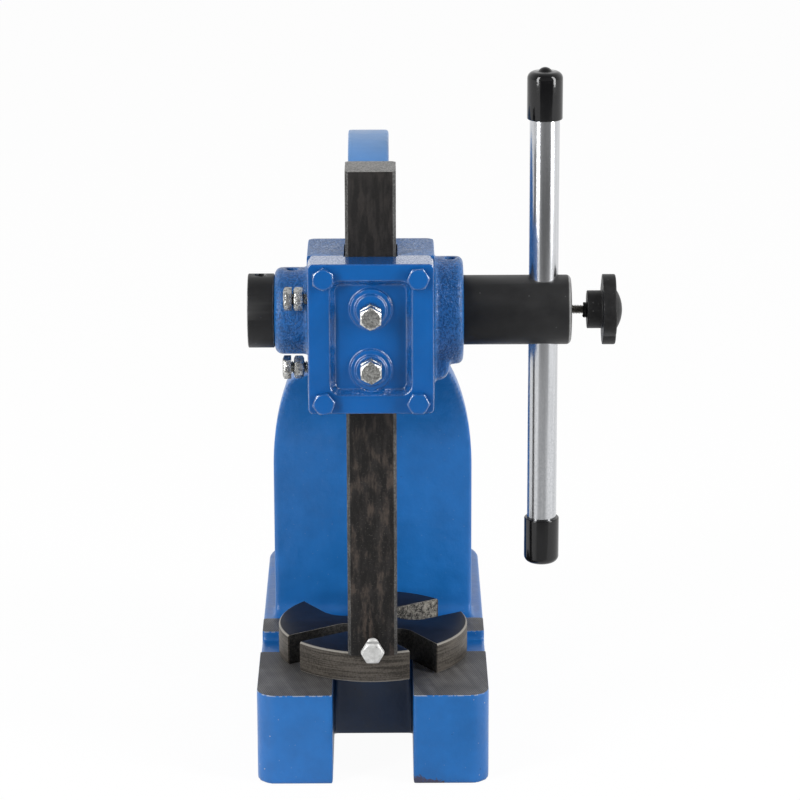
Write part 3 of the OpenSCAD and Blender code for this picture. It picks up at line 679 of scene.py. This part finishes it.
def oxide_ram():
    """Black oxide of the square ram: rusty along its length, gritty on its end, and paler on its edges, as
    bare metal and a painted highlight.
    """
    oxide = bpy.context.scene.press_finish.oxide
    tree, shader = finish_of("oxide_ram", Metallic=0.1, Specular_IOR_Level=0.32)
    place = local(tree)
    edge = times(tree, span(tree, facing(tree, "X"), 0.2, 0.5), span(tree, facing(tree, "Y"), 0.2, 0.5))
    end = span(tree, facing(tree, "Z"), 0.6, 0.9)
    streaks = noise(tree, stretch(tree, place, (1, 1, 0.24)), 260.0, 5.0, 0.62)
    rust = noise(tree, stretch(tree, place, (1, 1, 0.5)), 150.0, 4.0, 0.6)
    grit = noise(tree, place, 850.0, 3.0, 0.65)
    lower = span(tree, split(tree, place)["Z"], 0.3, 0.2, 0.12, 1.0)
    colour = blend(tree, span(tree, streaks, 0.42, 0.6), rgba(oxide, 0.55), rgba(oxide, 1.5))
    rusty = times(tree, span(tree, rust, 0.47, 0.6), span(tree, streaks, 0.45, 0.58), lower, 0.8)
    colour = blend(tree, rusty, colour, (0.066, 0.05, 0.041, 1))
    dusty = times(tree, span(tree, grit, 0.58, 0.66), lower, 0.4)
    colour = blend(tree, dusty, colour, (0.1, 0.09, 0.08, 1))
    # Paler chamfer edges: bare metal, and a painted highlight on the chamfers
    bare_and_lit = blend(tree, span(tree, grit, 0.35, 0.65), (0.03, 0.03, 0.029, 1), (0.15, 0.147, 0.142, 1))
    colour = blend(tree, times(tree, edge, span(tree, streaks, 0.35, 0.6, 0.3, 0.9)), colour, bare_and_lit)
    sand = blend(tree, span(tree, grit, 0.42, 0.58), (0.07, 0.07, 0.068, 1), (0.27, 0.265, 0.255, 1))
    colour = blend(tree, end, colour, sand)
    join(tree, shader, Base_Color=colour, Roughness=span(tree, grit, 0.3, 0.7, 0.42, 0.62),
        Normal=bump(tree, grit, 0.4 * MM, 0.45))


def oxide_turned():
    """Black oxide of the turned shaft and its collar, with a few scratches."""
    tree, shader = finish_of("oxide_turned", Specular_IOR_Level=0.3)
    place = local(tree)
    lines = tool_lines(tree, place, pitch=0.6 * MM)
    cloud = noise(tree, place, 55.0, 4.0, 0.6)
    colour = blend(tree, span(tree, cloud, 0.35, 0.65), (0.011, 0.011, 0.0116, 1),
        (0.0175, 0.0175, 0.018, 1))
    nicks = specks(tree, stretch(tree, place, (1, 0.35, 1), (0.5, 0.3, 0.8)),
        spacing=7 * MM, size=0.055, chance=0.4)
    colour = blend(tree, times(tree, nicks, 0.5), colour, (0.1, 0.1, 0.1, 1))
    # Paler edges: wear, and a painted highlight on the chamfers
    out = facing(tree, "X")
    worn_and_lit_edge = times(tree, span(tree, out, 0.35, 0.5), span(tree, out, 0.92, 0.8),
        span(tree, cloud, 0.35, 0.6, 0.3, 0.9))
    colour = blend(tree, worn_and_lit_edge, colour, (0.3, 0.3, 0.3, 1))
    join(tree, shader, Base_Color=colour, Roughness=span(tree, cloud, 0.3, 0.7, 0.4, 0.5),
        Normal=bump(tree, lines["Height"], 0.05 * MM, 0.25))


def bright_steel():
    """Polished bar of the lever."""
    tree, shader = finish_of("bright_steel", Metallic=1.0)
    place = local(tree)
    marks = noise(tree, stretch(tree, place, (1, 1, 0.02)), 700.0, 3.0)
    fine = noise(tree, place, 1400.0, 2.0, 0.6)
    tone = plus(tree, times(tree, marks, 0.55), times(tree, fine, 0.45))
    low_part = span(tree, split(tree, place)["Z"], 0.29, 0.2)
    mottle = times(tree, low_part, span(tree, noise(tree, place, 800.0, 3.0, 0.6), 0.52, 0.4), 0.22)
    colour = blend(tree, span(tree, tone, 0.38, 0.62), (0.54, 0.55, 0.57, 1), (0.68, 0.69, 0.71, 1))
    colour = blend(tree, mottle, colour, (0.3, 0.33, 0.35, 1))
    join(tree, shader, Base_Color=colour, Roughness=span(tree, marks, 0.35, 0.65, 0.19, 0.22))


def zinc_plate():
    """Zinc plate of the screws and nuts."""
    tree, shader = finish_of("zinc_plate", Metallic=1.0)
    place = local(tree)
    cloud = noise(tree, place, 620.0, 4.0, 0.62)
    fine = noise(tree, place, 1800.0, 2.0)
    colour = blend(tree, span(tree, cloud, 0.4, 0.6), (0.27, 0.27, 0.26, 1), (0.76, 0.76, 0.73, 1))
    join(tree, shader, Base_Color=colour, Roughness=span(tree, cloud, 0.35, 0.65, 0.38, 0.16),
        Normal=bump(tree, plus(tree, fine, times(tree, cloud, 2.0)), 0.3 * MM, 0.5))


def dull_zinc():
    """Dull pitted plate of the clamp bolt."""
    tree, shader = finish_of("dull_zinc", Metallic=0.35)
    place = local(tree)
    cloud = noise(tree, place, 400.0, 4.0, 0.6)
    pits = specks(tree, place, spacing=2.4 * MM, size=0.14, chance=0.3)
    colour = blend(tree, span(tree, cloud, 0.35, 0.65), (0.5, 0.5, 0.49, 1), (0.66, 0.66, 0.65, 1))
    colour = blend(tree, times(tree, pits, 0.6), colour, (0.16, 0.16, 0.16, 1))
    join(tree, shader, Base_Color=colour, Roughness=span(tree, cloud, 0.3, 0.7, 0.34, 0.5),
        Normal=bump(tree, cloud, 0.2 * MM, 0.4))


def slot_wall():
    """Rough cast walls of the plate's slots, with painted light: the walls towards the rear are painted
    paler, as lit walls.
    """
    tree, shader = finish_of("slot_wall", Metallic=0.1, Specular_IOR_Level=0.35)
    place = local(tree)
    grain = cast_grain(tree, place, lump=2.4 * MM, grit=1 * MM, share=0.55)
    # Painted light: the walls towards the rear are painted paler, where the light falls on them
    bare_and_lit = span(tree, split(tree, place)["Y"], -0.066, -0.052)
    height = grain["Height"]
    dark = blend(tree, span(tree, height, 0.44, 0.64), (0.006, 0.006, 0.006, 1), (0.04, 0.038, 0.035, 1))
    lit_rear_colour = blend(tree, span(tree, height, 0.42, 0.6), (0.03, 0.028, 0.025, 1), (0.3, 0.28, 0.24, 1))
    join(tree, shader, Base_Color=blend(tree, bare_and_lit, dark, lit_rear_colour),
        Roughness=span(tree, grain["Mottle"], 0.3, 0.7, 0.55, 0.8),
        Normal=bump(tree, height, 1.4 * MM, 0.9))


def mild_steel():
    """Plain steel of the gib strips and the stud."""
    tree, shader = finish_of("mild_steel", Metallic=0.9)
    cloud = noise(tree, local(tree), 300.0, 4.0)
    colour = blend(tree, span(tree, cloud, 0.35, 0.65), (0.3, 0.29, 0.27, 1), (0.46, 0.45, 0.43, 1))
    join(tree, shader, Base_Color=colour, Roughness=span(tree, cloud, 0.3, 0.7, 0.3, 0.45))


def dipped_vinyl():
    """Dipped vinyl of the grip caps."""
    tree, shader = finish_of("dipped_vinyl", Specular_IOR_Level=0.5)
    soft = noise(tree, local(tree), 160.0, 2.0)
    colour = blend(tree, soft, (0.003, 0.003, 0.0035, 1), (0.006, 0.006, 0.0065, 1))
    join(tree, shader, Base_Color=colour, Roughness=span(tree, soft, 0.3, 0.7, 0.05, 0.1),
        Normal=bump(tree, soft, 0.3 * MM, 0.2))


def moulded_plastic():
    """Moulded plastic of the clamp knob, pitted."""
    tree, shader = finish_of("moulded_plastic", Specular_IOR_Level=0.25)
    place = local(tree)
    fine = noise(tree, place, 1200.0, 3.0, 0.6)
    cloud = noise(tree, place, 200.0, 3.0)
    pits = specks(tree, place, spacing=3 * MM, size=0.13, chance=0.35)
    colour = blend(tree, span(tree, cloud, 0.35, 0.65), (0.006, 0.006, 0.0063, 1),
        (0.013, 0.013, 0.0135, 1))
    colour = blend(tree, times(tree, pits, 0.5), colour, (0.12, 0.12, 0.12, 1))
    join(tree, shader, Base_Color=colour, Roughness=span(tree, fine, 0.3, 0.7, 0.38, 0.55),
        Normal=bump(tree, calc(tree, "SUBTRACT", fine, times(tree, pits, 0.6)), 0.2 * MM, 0.5))


def turned_plate():
    """Anvil plate: dark ground faces, turned rim with a painted highlight on its upper edge."""
    iron = bpy.context.scene.press_finish.iron
    tree, shader = finish_of("turned_plate", Metallic=0.08, Specular_IOR_Level=0.15)
    place = local(tree)
    up = facing(tree, "Z")
    flat = span(tree, up, 0.9, 0.98)
    edge = times(tree, span(tree, up, 0.2, 0.5), span(tree, up, 0.98, 0.9))
    rings = noise(tree, stretch(tree, place, (0.04, 0.04, 1)), 750.0, 4.0, 0.65)
    grit = noise(tree, place, 900.0, 3.0, 0.6)
    cloud = noise(tree, place, 120.0, 4.0, 0.6)
    lines = plus(tree, times(tree, rings, 0.65), times(tree, grit, 0.35))
    rim = blend(tree, span(tree, lines, 0.42, 0.58), rgba(iron, 0.36), rgba(iron, 1.05))
    # Painted highlight along the rim's upper edge
    rim = blend(tree, times(tree, edge, 0.55), rim, (0.42, 0.4, 0.36, 1))
    top = blend(tree, span(tree, cloud, 0.3, 0.7), (0.0075, 0.0078, 0.012, 1), (0.013, 0.013, 0.019, 1))
    join(tree, shader, Base_Color=blend(tree, flat, rim, top),
        Roughness=span(tree, flat, 0, 1, 0.5, 0.42), Normal=bump(tree, lines, 0.2 * MM, 0.4))


def milled_iron():
    """Milled top of the base, with the cutter's slanted lines."""
    tree, shader = finish_of("milled_iron", Metallic=0.3, Specular_IOR_Level=0.4)
    place = local(tree)
    slant, lines_per_metre = -0.27, 5200.0
    slanted = stretch(tree, place, (1, 1, 1), (0, 0, slant))
    lines = tool_lines(tree, slanted, pitch=0.7 * MM)
    across = times(tree, split(tree, slanted)["X"], lines_per_metre)
    ridge = calc(tree, "SINE", plus(tree, across, times(tree, lines["Tone"], 2.0)))
    cloud = noise(tree, place, 60.0, 5.0, 0.6)
    tone = plus(tree, times(tree, ridge, 0.12), times(tree, lines["Tone"], 0.4), times(tree, cloud, 0.5))
    colour = blend(tree, span(tree, tone, 0.36, 0.64), (0.045, 0.0435, 0.0435, 1), (0.17, 0.166, 0.164, 1))
    join(tree, shader, Base_Color=colour, Roughness=span(tree, tone, 0.3, 0.7, 0.45, 0.6),
        Normal=bump(tree, ridge, 0.1 * MM, 0.35))


# Each finish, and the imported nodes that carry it
FINISHES = {
    milled_iron: (), slot_wall: (), dull_zinc: ("tool_clamp_bolt",),
    cast_paint: ("frame_casting",), cover_paint: ("cover_plate", "cover_bolts"),
    oxide_ram: ("ram",), oxide_turned: ("pinion_shaft", "shaft_collar", "collar_set_screw"),
    bright_steel: ("lever_bar",), zinc_plate: tuple(side + part + level for side in ("front", "side")
        for part in ("_screw", "_nut") for level in ("_upper", "_lower")),
    mild_steel: ("front_gib", "side_gib", "clamp_stud"),
    dipped_vinyl: ("upper_grip_cap", "lower_grip_cap"), moulded_plastic: ("clamp_knob",),
    turned_plate: ("anvil_plate",),
}


class PRESS_OT_finishes(bpy.types.Operator):
    """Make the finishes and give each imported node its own"""
    bl_idname = "press.finishes"
    bl_label = "Finishes"

    def execute(self, context):
        for make in (grain_group, specks_group, lines_group):
            make()
        for make, nodes in FINISHES.items():
            make()
            for node in nodes:
                coat(frame["nodes"][node], make.__name__)
        return {"FINISHED"}


class PRESS_OT_casting(bpy.types.Operator):
    """Make the painted casting with its cast edges and its machined faces"""
    bl_idname = "press.casting"
    bl_label = "Casting"

    def execute(self, context):
        shape = context.scene.press_shape
        ram_lo, ram_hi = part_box("ram")
        body = twin("frame_casting", "casting")
        # Stock on the faces that are machined, for the cutters to take off
        pick(body, "FACE", lambda face: looks(face, UP) and on(face, 2, BASE_TOP))
        bpy.ops.transform.translate(value=(0, 0, shape.stock))
        leave()
        pick(body, "FACE", lambda face: looks(face, FORWARD) and on(face, 1, JOINT_Y))
        bpy.ops.transform.translate(value=(0, -shape.stock, 0))
        leave()
        filler = block("channel_stock", (ram_lo.x, JOINT_Y - shape.stock, HEAD_LOW),
            (ram_hi.x, ram_hi.y, HEAD_TOP))
        unite(body, filler)
        soften(body, shape.casting_voxel, 8, 0.27)
        # Milled pad and strip, and the joint face
        reach = 6 * MM

        def by_pad(face):
            place = face.calc_center_median()
            return place.y < STRIP_REAR + 2 * MM and abs(place.z - BASE_TOP) < reach

        def by_joint(face):
            place = face.calc_center_median()
            return place.y < JOINT_Y + reach and place.z > HEAD_LOW - reach

        trim(body, (0, 0, BASE_TOP), UP, by_pad)
        trim(body, (0, JOINT_Y, 0), FORWARD, by_joint)
        # The ram's channel, with a wider mouth at each end
        step = MOUTH_GAP - CHANNEL_GAP
        deep = ram_hi.y + MOUTH_GAP
        front = JOINT_Y - reach
        broach = block("broach", (ram_lo.x - MOUTH_GAP, front, HEAD_LOW - reach),
            (ram_hi.x + MOUTH_GAP, deep, HEAD_LOW + MOUTH_DEPTH))
        pick(broach, "FACE", lambda face: looks(face, UP))
        bpy.ops.mesh.inset(thickness=step)
        extrude(HEAD_TOP - HEAD_LOW - 2 * MOUTH_DEPTH)
        extrude(0)
        wide, long = ram_hi.x - ram_lo.x + 2 * MOUTH_GAP, deep - front
        bpy.ops.transform.resize(value=(wide / (wide - 2 * step), long / (long - 2 * step), 1))
        extrude(MOUTH_DEPTH + reach)
        leave()
        cut(body, broach)
        settle(body, "cast_paint", 40, "frame", "frame_casting")
        body.data.materials.append(bpy.data.materials["milled_iron"])
        for face in body.data.polygons:
            milled = face.normal.z > 0.999 and abs(face.center.z - BASE_TOP) < 0.02 * MM
            channel = ram_lo.x - MM < face.center.x < ram_hi.x + MM and face.center.y < ram_hi.y + MM
            if milled or channel and abs(face.normal.z) < 0.02 and face.center.z > HEAD_LOW:
                face.material_index = 1
        return {"FINISHED"}


class PRESS_OT_cover(bpy.types.Operator):
    """Make the painted cover and its four painted bolts"""
    bl_idname = "press.cover"
    bl_label = "Cover"

    def execute(self, context):
        shape = context.scene.press_shape
        lo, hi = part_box("cover_plate")
        ram_lo, ram_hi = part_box("ram")
        cover = twin("cover_plate", "cover")
        pick(cover, "FACE", lambda face: looks(face, BACK) and on(face, 1, JOINT_Y))
        bpy.ops.transform.translate(value=(0, shape.stock, 0))
        leave()
        soften(cover, shape.cover_voxel, 7, 0.4)
        overrun = 5 * MM
        cut(cover, block("joint_cut", (lo.x - overrun, JOINT_Y, lo.z - overrun),
            (hi.x + overrun, JOINT_Y + overrun, hi.z + overrun)), solver="FAST")
        cut(cover, block("groove_cut", (ram_lo.x - CHANNEL_GAP, ram_lo.y - CHANNEL_GAP, lo.z - overrun),
            (ram_hi.x + CHANNEL_GAP, JOINT_Y + overrun, hi.z + overrun)), solver="FAST")
        settle(cover, "cover_paint", 40, "frame", "cover_plate")

        # Painted bolts, each melted a little by the paint that fills its corners
        points = [vertex.co for vertex in frame["nodes"]["cover_bolts"].data.vertices]
        level_z = middle("cover_bolts").z
        turn = Vector(FORWARD).to_track_quat("Z", "Y").inverted()
        seat = lo.y + OVERLAP
        heads = []
        for side, level in ((-1, -1), (-1, 1), (1, -1), (1, 1)):
            own = [co for co in points if co.x * side > 0 and (co.z - level_z) * level > 0]
            centre = Vector([(min(c[i] for c in own) + max(c[i] for c in own)) / 2 for i in range(3)])
            top, tip = min(c.y for c in own), max(c.y for c in own)
            corner = turn @ (max((co for co in own if co.y < seat),
                key=lambda co: math.hypot(co.x - centre.x, co.z - centre.z)) - centre)
            head = hexagon("cover_bolt", seat - top, math.atan2(corner.y, corner.x))
            unite(head, rod("shank", (0, 0, lo.y - tip), UP, SHANK_R, tip - lo.y + MM, 32))
            stand(head, (centre.x, seat, centre.z), FORWARD)
            heads.append(head)
        bolts = unite(*heads)
        bolts.name = bolts.data.name = "cover_bolt_heads"
        soften(bolts, 0.35 * MM, 6, 0.5)
        settle(bolts, "cover_paint", 40, "frame", "cover_bolts")
        return {"FINISHED"}


class PRESS_OT_fasteners(bpy.types.Operator):
    """Make the adjusting screws, their lock nuts and the clamp bolt"""
    bl_idname = "press.fasteners"
    bl_label = "Screws and nuts"

    def execute(self, context):
        pitch = context.scene.press_shape.pitch
        for side, axis in (("front", FORWARD), ("side", LEFT)):
            for level in ("upper", "lower"):
                name = side + "_screw_" + level
                piece = screw("threaded_" + name, name, axis, pitch)
                settle(piece, "zinc_plate", 25, "frame", name)
                name = side + "_nut_" + level
                settle(nut("turned_" + name, name, axis), "zinc_plate", 25, "frame", name)
        bolt = screw("threaded_clamp_bolt", "tool_clamp_bolt", FORWARD, pitch)
        settle(bolt, "dull_zinc", 25, "clamp_bolt", "tool_clamp_bolt")
        return {"FINISHED"}


class PRESS_OT_shaft(bpy.types.Operator):
    """Make the pinion shaft, its collar and the set screw"""
    bl_idname = "press.shaft"
    bl_label = "Shaft"

    def execute(self, context):
        for node, name in (("pinion_shaft", "turned_shaft"), ("shaft_collar", "turned_collar"),
                ("collar_set_screw", "socket_set_screw")):
            piece = twin(node, name)
            break_edges(piece, 0.2 * MM, 50)
            settle(piece, "oxide_turned", 30, "pinion", node)
        return {"FINISHED"}


class PRESS_OT_lever(bpy.types.Operator):
    """Make the lever's bar and its two grip caps"""
    bl_idname = "press.lever"
    bl_label = "Lever"

    def execute(self, context):
        bar_lo, bar_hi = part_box("lever_bar")
        place = Vector((LEVER_X, SHAFT.y, bar_lo.z))
        bar_r = (bar_hi.x - bar_lo.x) / 2
        bar = rod("polished_bar", place, UP, bar_r, bar_hi.z - bar_lo.z)
        break_edges(bar, 1 * MM, 50, segments=3)
        settle(bar, "bright_steel", 30, "lever", "lever_bar")
        for node, name, axis in (("upper_grip_cap", "dipped_upper_cap", UP),
                ("lower_grip_cap", "dipped_lower_cap", DOWN)):
            lo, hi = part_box(node)
            radius = (hi.x - lo.x) / 2
            mouth, end = (lo.z, bar_hi.z + CAP_END) if axis == UP else (hi.z, lo.z)
            length = abs(end - mouth)
            cap = rod(name, (0, 0, 0), UP, radius, length)
            # Round closed end
            pick(cap, "FACE", lambda face: looks(face, UP))
            bpy.ops.mesh.bevel(offset=CAP_EDGE, segments=10, affect="EDGES")
            leave()
            # Mouth: a soft lip, then the wall's thickness down to the bar's end
            pick(cap, "FACE", lambda face: looks(face, DOWN))
            bpy.ops.mesh.bevel(offset=CAP_LIP, segments=5, affect="EDGES")
            leave()
            pick(cap, "FACE", lambda face: looks(face, DOWN) and len(face.verts) == ROUND)
            bpy.ops.mesh.inset(thickness=radius - CAP_LIP - bar_r)
            extrude(length - CAP_END)
            leave()
            if axis == UP:
                # Teat that the dipping leaves
                pick(cap, "FACE", lambda face: looks(face, UP) and len(face.verts) == ROUND)
                bpy.ops.mesh.inset(thickness=radius - CAP_EDGE - NUB_R)
                for rise, share in ((0.15, 0.93), (0.3, 0.85), (0.3, 0.72), (0.17, 0.6), (0.08, 0.4)):
                    extrude(rise * (hi.z - end))
                    bpy.ops.transform.resize(value=(share, share, 1))
                leave()
            stand(cap, (LEVER_X, SHAFT.y, mouth), axis)
            settle(cap, "dipped_vinyl", 60, "lever", node)
        return {"FINISHED"}


class PRESS_OT_knob(bpy.types.Operator):
    """Make the clamp knob and its threaded stud"""
    bl_idname = "press.knob"
    bl_label = "Clamp knob"

    def execute(self, context):
        lo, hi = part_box("clamp_stud")
        stud_r = (hi.z - lo.z) / 2
        stud = thread("threaded_stud", stud_r, hi.x - lo.x, context.scene.press_shape.stud_pitch)
        stand(stud, (lo.x, SHAFT.y, SHAFT.z), RIGHT)
        settle(stud, "mild_steel", 25, "stud", "clamp_stud")
        knob = twin("clamp_knob", "lobed_knob")
        # Flash of the moulding round the stud's root
        root = low("clamp_knob").x
        flash = rod("flash", (root - 2.4 * MM, SHAFT.y, SHAFT.z), RIGHT, FLASH_R, 2.8 * MM, 24)
        pick(flash, "FACE", lambda face: abs(face.normal.x) > SQUARELY)
        bpy.ops.mesh.inset(thickness=FLASH_R - stud_r - 0.1 * MM)
        bpy.ops.mesh.bridge_edge_loops()
        leave()
        pick(flash, "VERT", lambda vertex: vertex.co.x < root and (vertex.co.yz - SHAFT.yz).length > 4 * MM)
        bpy.ops.transform.vertex_random(offset=0.7 * MM, seed=3)
        leave()
        clear()
        bpy.ops.mesh.primitive_ico_sphere_add(subdivisions=2, radius=1.5 * MM,
            location=(root - 1.6 * MM, SHAFT.y - 2.6 * MM, SHAFT.z - 3.4 * MM))
        unite(knob, flash, named("flash_drop"))
        soften(knob, 0.4 * MM, 5, 0.4)
        settle(knob, "moulded_plastic", 50, "knob", "clamp_knob")
        return {"FINISHED"}


class PRESS_OT_ram(bpy.types.Operator):
    """Make the ram with its broken edges"""
    bl_idname = "press.ram"
    bl_label = "Ram"

    def execute(self, context):
        ram = twin("ram", "rack_ram")
        break_edges(ram, 0.25 * MM, 30)
        settle(ram, "oxide_ram", 30, "ram", "ram")
        return {"FINISHED"}


class PRESS_OT_anvil(bpy.types.Operator):
    """Make the anvil plate: ground faces, turned rim and rough slots"""
    bl_idname = "press.anvil"
    bl_label = "Anvil plate"

    def execute(self, context):
        plate = twin("anvil_plate", "slotted_plate")
        break_edges(plate, 0.3 * MM, 30)
        settle(plate, "turned_plate", 30, "anvil", "anvil_plate")
        plate.data.materials.append(bpy.data.materials["slot_wall"])
        rim = (high("anvil_plate").x - low("anvil_plate").x) / 2
        for face in plate.data.polygons:
            out = math.hypot(face.center.x, face.center.y - PLATE_Y)
            if abs(face.normal.z) < 0.3 and out < rim - 2 * MM:
                face.material_index = 1
        return {"FINISHED"}


class PRESS_OT_stage(bpy.types.Operator):
    """Make the camera, the lights, the room and the floor"""
    bl_idname = "press.stage"
    bl_label = "Stage"

    def execute(self, context):
        studio = context.scene.press_studio
        context.scene.view_settings.view_transform = "Standard"
        clear()
        bpy.ops.object.camera_add(location=CAMERA_PLACE,
            rotation=(math.pi / 2 + CAMERA_TILT, 0, CAMERA_PAN))
        camera = context.object
        camera.name = "press_camera"
        camera.matrix_world = camera.matrix_world @ Matrix.Rotation(CAMERA_ROLL, 4, "Z")
        camera.data.sensor_width = SENSOR
        camera.data.lens = studio.lens
        context.scene.camera = camera

        clear()
        bpy.ops.mesh.primitive_circle_add(vertices=ROUND, radius=FLOOR_R, fill_type="NGON")
        floor = named("floor")
        material = bpy.data.materials.new("floor_white")
        material.use_nodes = True
        tree = material.node_tree
        tree.nodes.clear()
        path = put(tree, "LightPath").outputs
        # White sweep behind and beside the press, and the studio's dark floor in front of it
        x, y = split(tree, local(tree))[:2]
        left = plus(tree, times(tree, x, -1.0), times(tree, y, 0.65))
        right = plus(tree, x, times(tree, y, 1.2))
        sweep = span(tree, calc(tree, "MAXIMUM", left, right), -0.2, 0.0)
        white = calc(tree, "MAXIMUM", sweep, path["Is Camera Ray"])
        dark = span(tree, y, -1.35, -0.55, 0.2, 0.42)
        tone = plus(tree, dark, times(tree, white, calc(tree, "SUBTRACT", 0.9, dark)))
        diffuse = put(tree, "BsdfDiffuse", {"Color": tone})
        glow = put(tree, "Emission", {"Color": (1, 1, 1, 1), "Strength": 1.0})
        seen = calc(tree, "MAXIMUM", path["Is Camera Ray"], times(tree, path["Is Glossy Ray"], sweep))
        # A little of the floor's own light stays, for the press's shadow
        mixed = put(tree, "MixShader", {0: times(tree, seen, 0.96), 1: diffuse.outputs[0],
            2: glow.outputs[0]})
        put(tree, "OutputMaterial", {"Surface": mixed.outputs[0]})
        floor.data.materials.append(material)

        world = bpy.data.worlds.new("room")
        context.scene.world = world
        world.use_nodes = True
        tree = world.node_tree
        tree.nodes.clear()
        ray = split(tree, put(tree, "TexCoord").outputs["Generated"])
        behind = span(tree, ray["Y"], -0.5, 0.4, 0.28, 1.0)
        above = span(tree, ray["Z"], 0.5, 0.95, 1.0, 0.5)
        room = put(tree, "Background", {"Color": (1, 1, 1, 1),
            "Strength": times(tree, behind, above, studio.world_level)})
        white = put(tree, "Background", {"Color": (1, 1, 1, 1), "Strength": 1.0})
        path = put(tree, "LightPath").outputs
        mixed = put(tree, "MixShader", {0: path["Is Camera Ray"], 1: room.outputs[0],
            2: white.outputs[0]})
        put(tree, "OutputWorld", {"Surface": mixed.outputs[0]})

        # Two tall soft boxes, in front on the left and on the right
        for name, turn in (("left_soft_box", -48), ("right_soft_box", 63)):
            clear()
            angle = math.radians(turn)
            place = Vector((BOX_DISTANCE * math.sin(angle), BOX_AIM.y - BOX_DISTANCE * math.cos(angle),
                BOX_HEIGHT))
            bpy.ops.object.light_add(type="AREA", location=place)
            lamp = context.object
            lamp.name = name
            lamp.visible_camera = False
            lamp.data.shape = "RECTANGLE"
            lamp.data.size = BOX_WIDE
            lamp.data.size_y = BOX_TALL
            lamp.data.energy = studio.box_level * math.pi * BOX_WIDE * BOX_TALL
            lamp.rotation_euler = (BOX_AIM - place).to_track_quat("-Z", "Y").to_euler()
        return {"FINISHED"}


class PRESS_PT_panel(bpy.types.Panel):
    """Lists the steps that dress the press"""
    bl_idname = "PRESS_PT_panel"
    bl_label = "Arbor Press"
    bl_space_type = "VIEW_3D"
    bl_region_type = "UI"
    bl_category = "Arbor Press"

    def draw(self, context):
        for name in SETTINGS:
            settings = getattr(context.scene, name)
            box = self.layout.box()
            for key in settings.__annotations__:
                box.prop(settings, key)
        for operator in OPERATORS:
            self.layout.operator(operator.bl_idname)


SETTINGS = {"press_finish": PressFinish, "press_shape": PressShape, "press_studio": PressStudio}
OPERATORS = (PRESS_OT_finishes, PRESS_OT_casting, PRESS_OT_cover, PRESS_OT_fasteners, PRESS_OT_shaft,
    PRESS_OT_lever, PRESS_OT_knob, PRESS_OT_ram, PRESS_OT_anvil, PRESS_OT_stage)
CLASSES = tuple(SETTINGS.values()) + OPERATORS + (PRESS_PT_panel,)


def register():
    for cls in CLASSES:
        bpy.utils.register_class(cls)
    for name, cls in SETTINGS.items():
        setattr(bpy.types.Scene, name, PointerProperty(type=cls))


def unregister():
    for name in SETTINGS:
        delattr(bpy.types.Scene, name)
    for cls in reversed(CLASSES):
        bpy.utils.unregister_class(cls)


def main():
    register()
    for step in (bpy.ops.press.finishes, bpy.ops.press.casting, bpy.ops.press.cover,
            bpy.ops.press.fasteners, bpy.ops.press.shaft, bpy.ops.press.lever, bpy.ops.press.knob,
            bpy.ops.press.ram, bpy.ops.press.anvil, bpy.ops.press.stage):
        step()
    bpy.context.view_layer.update()


if __name__ == "__main__":
    main()
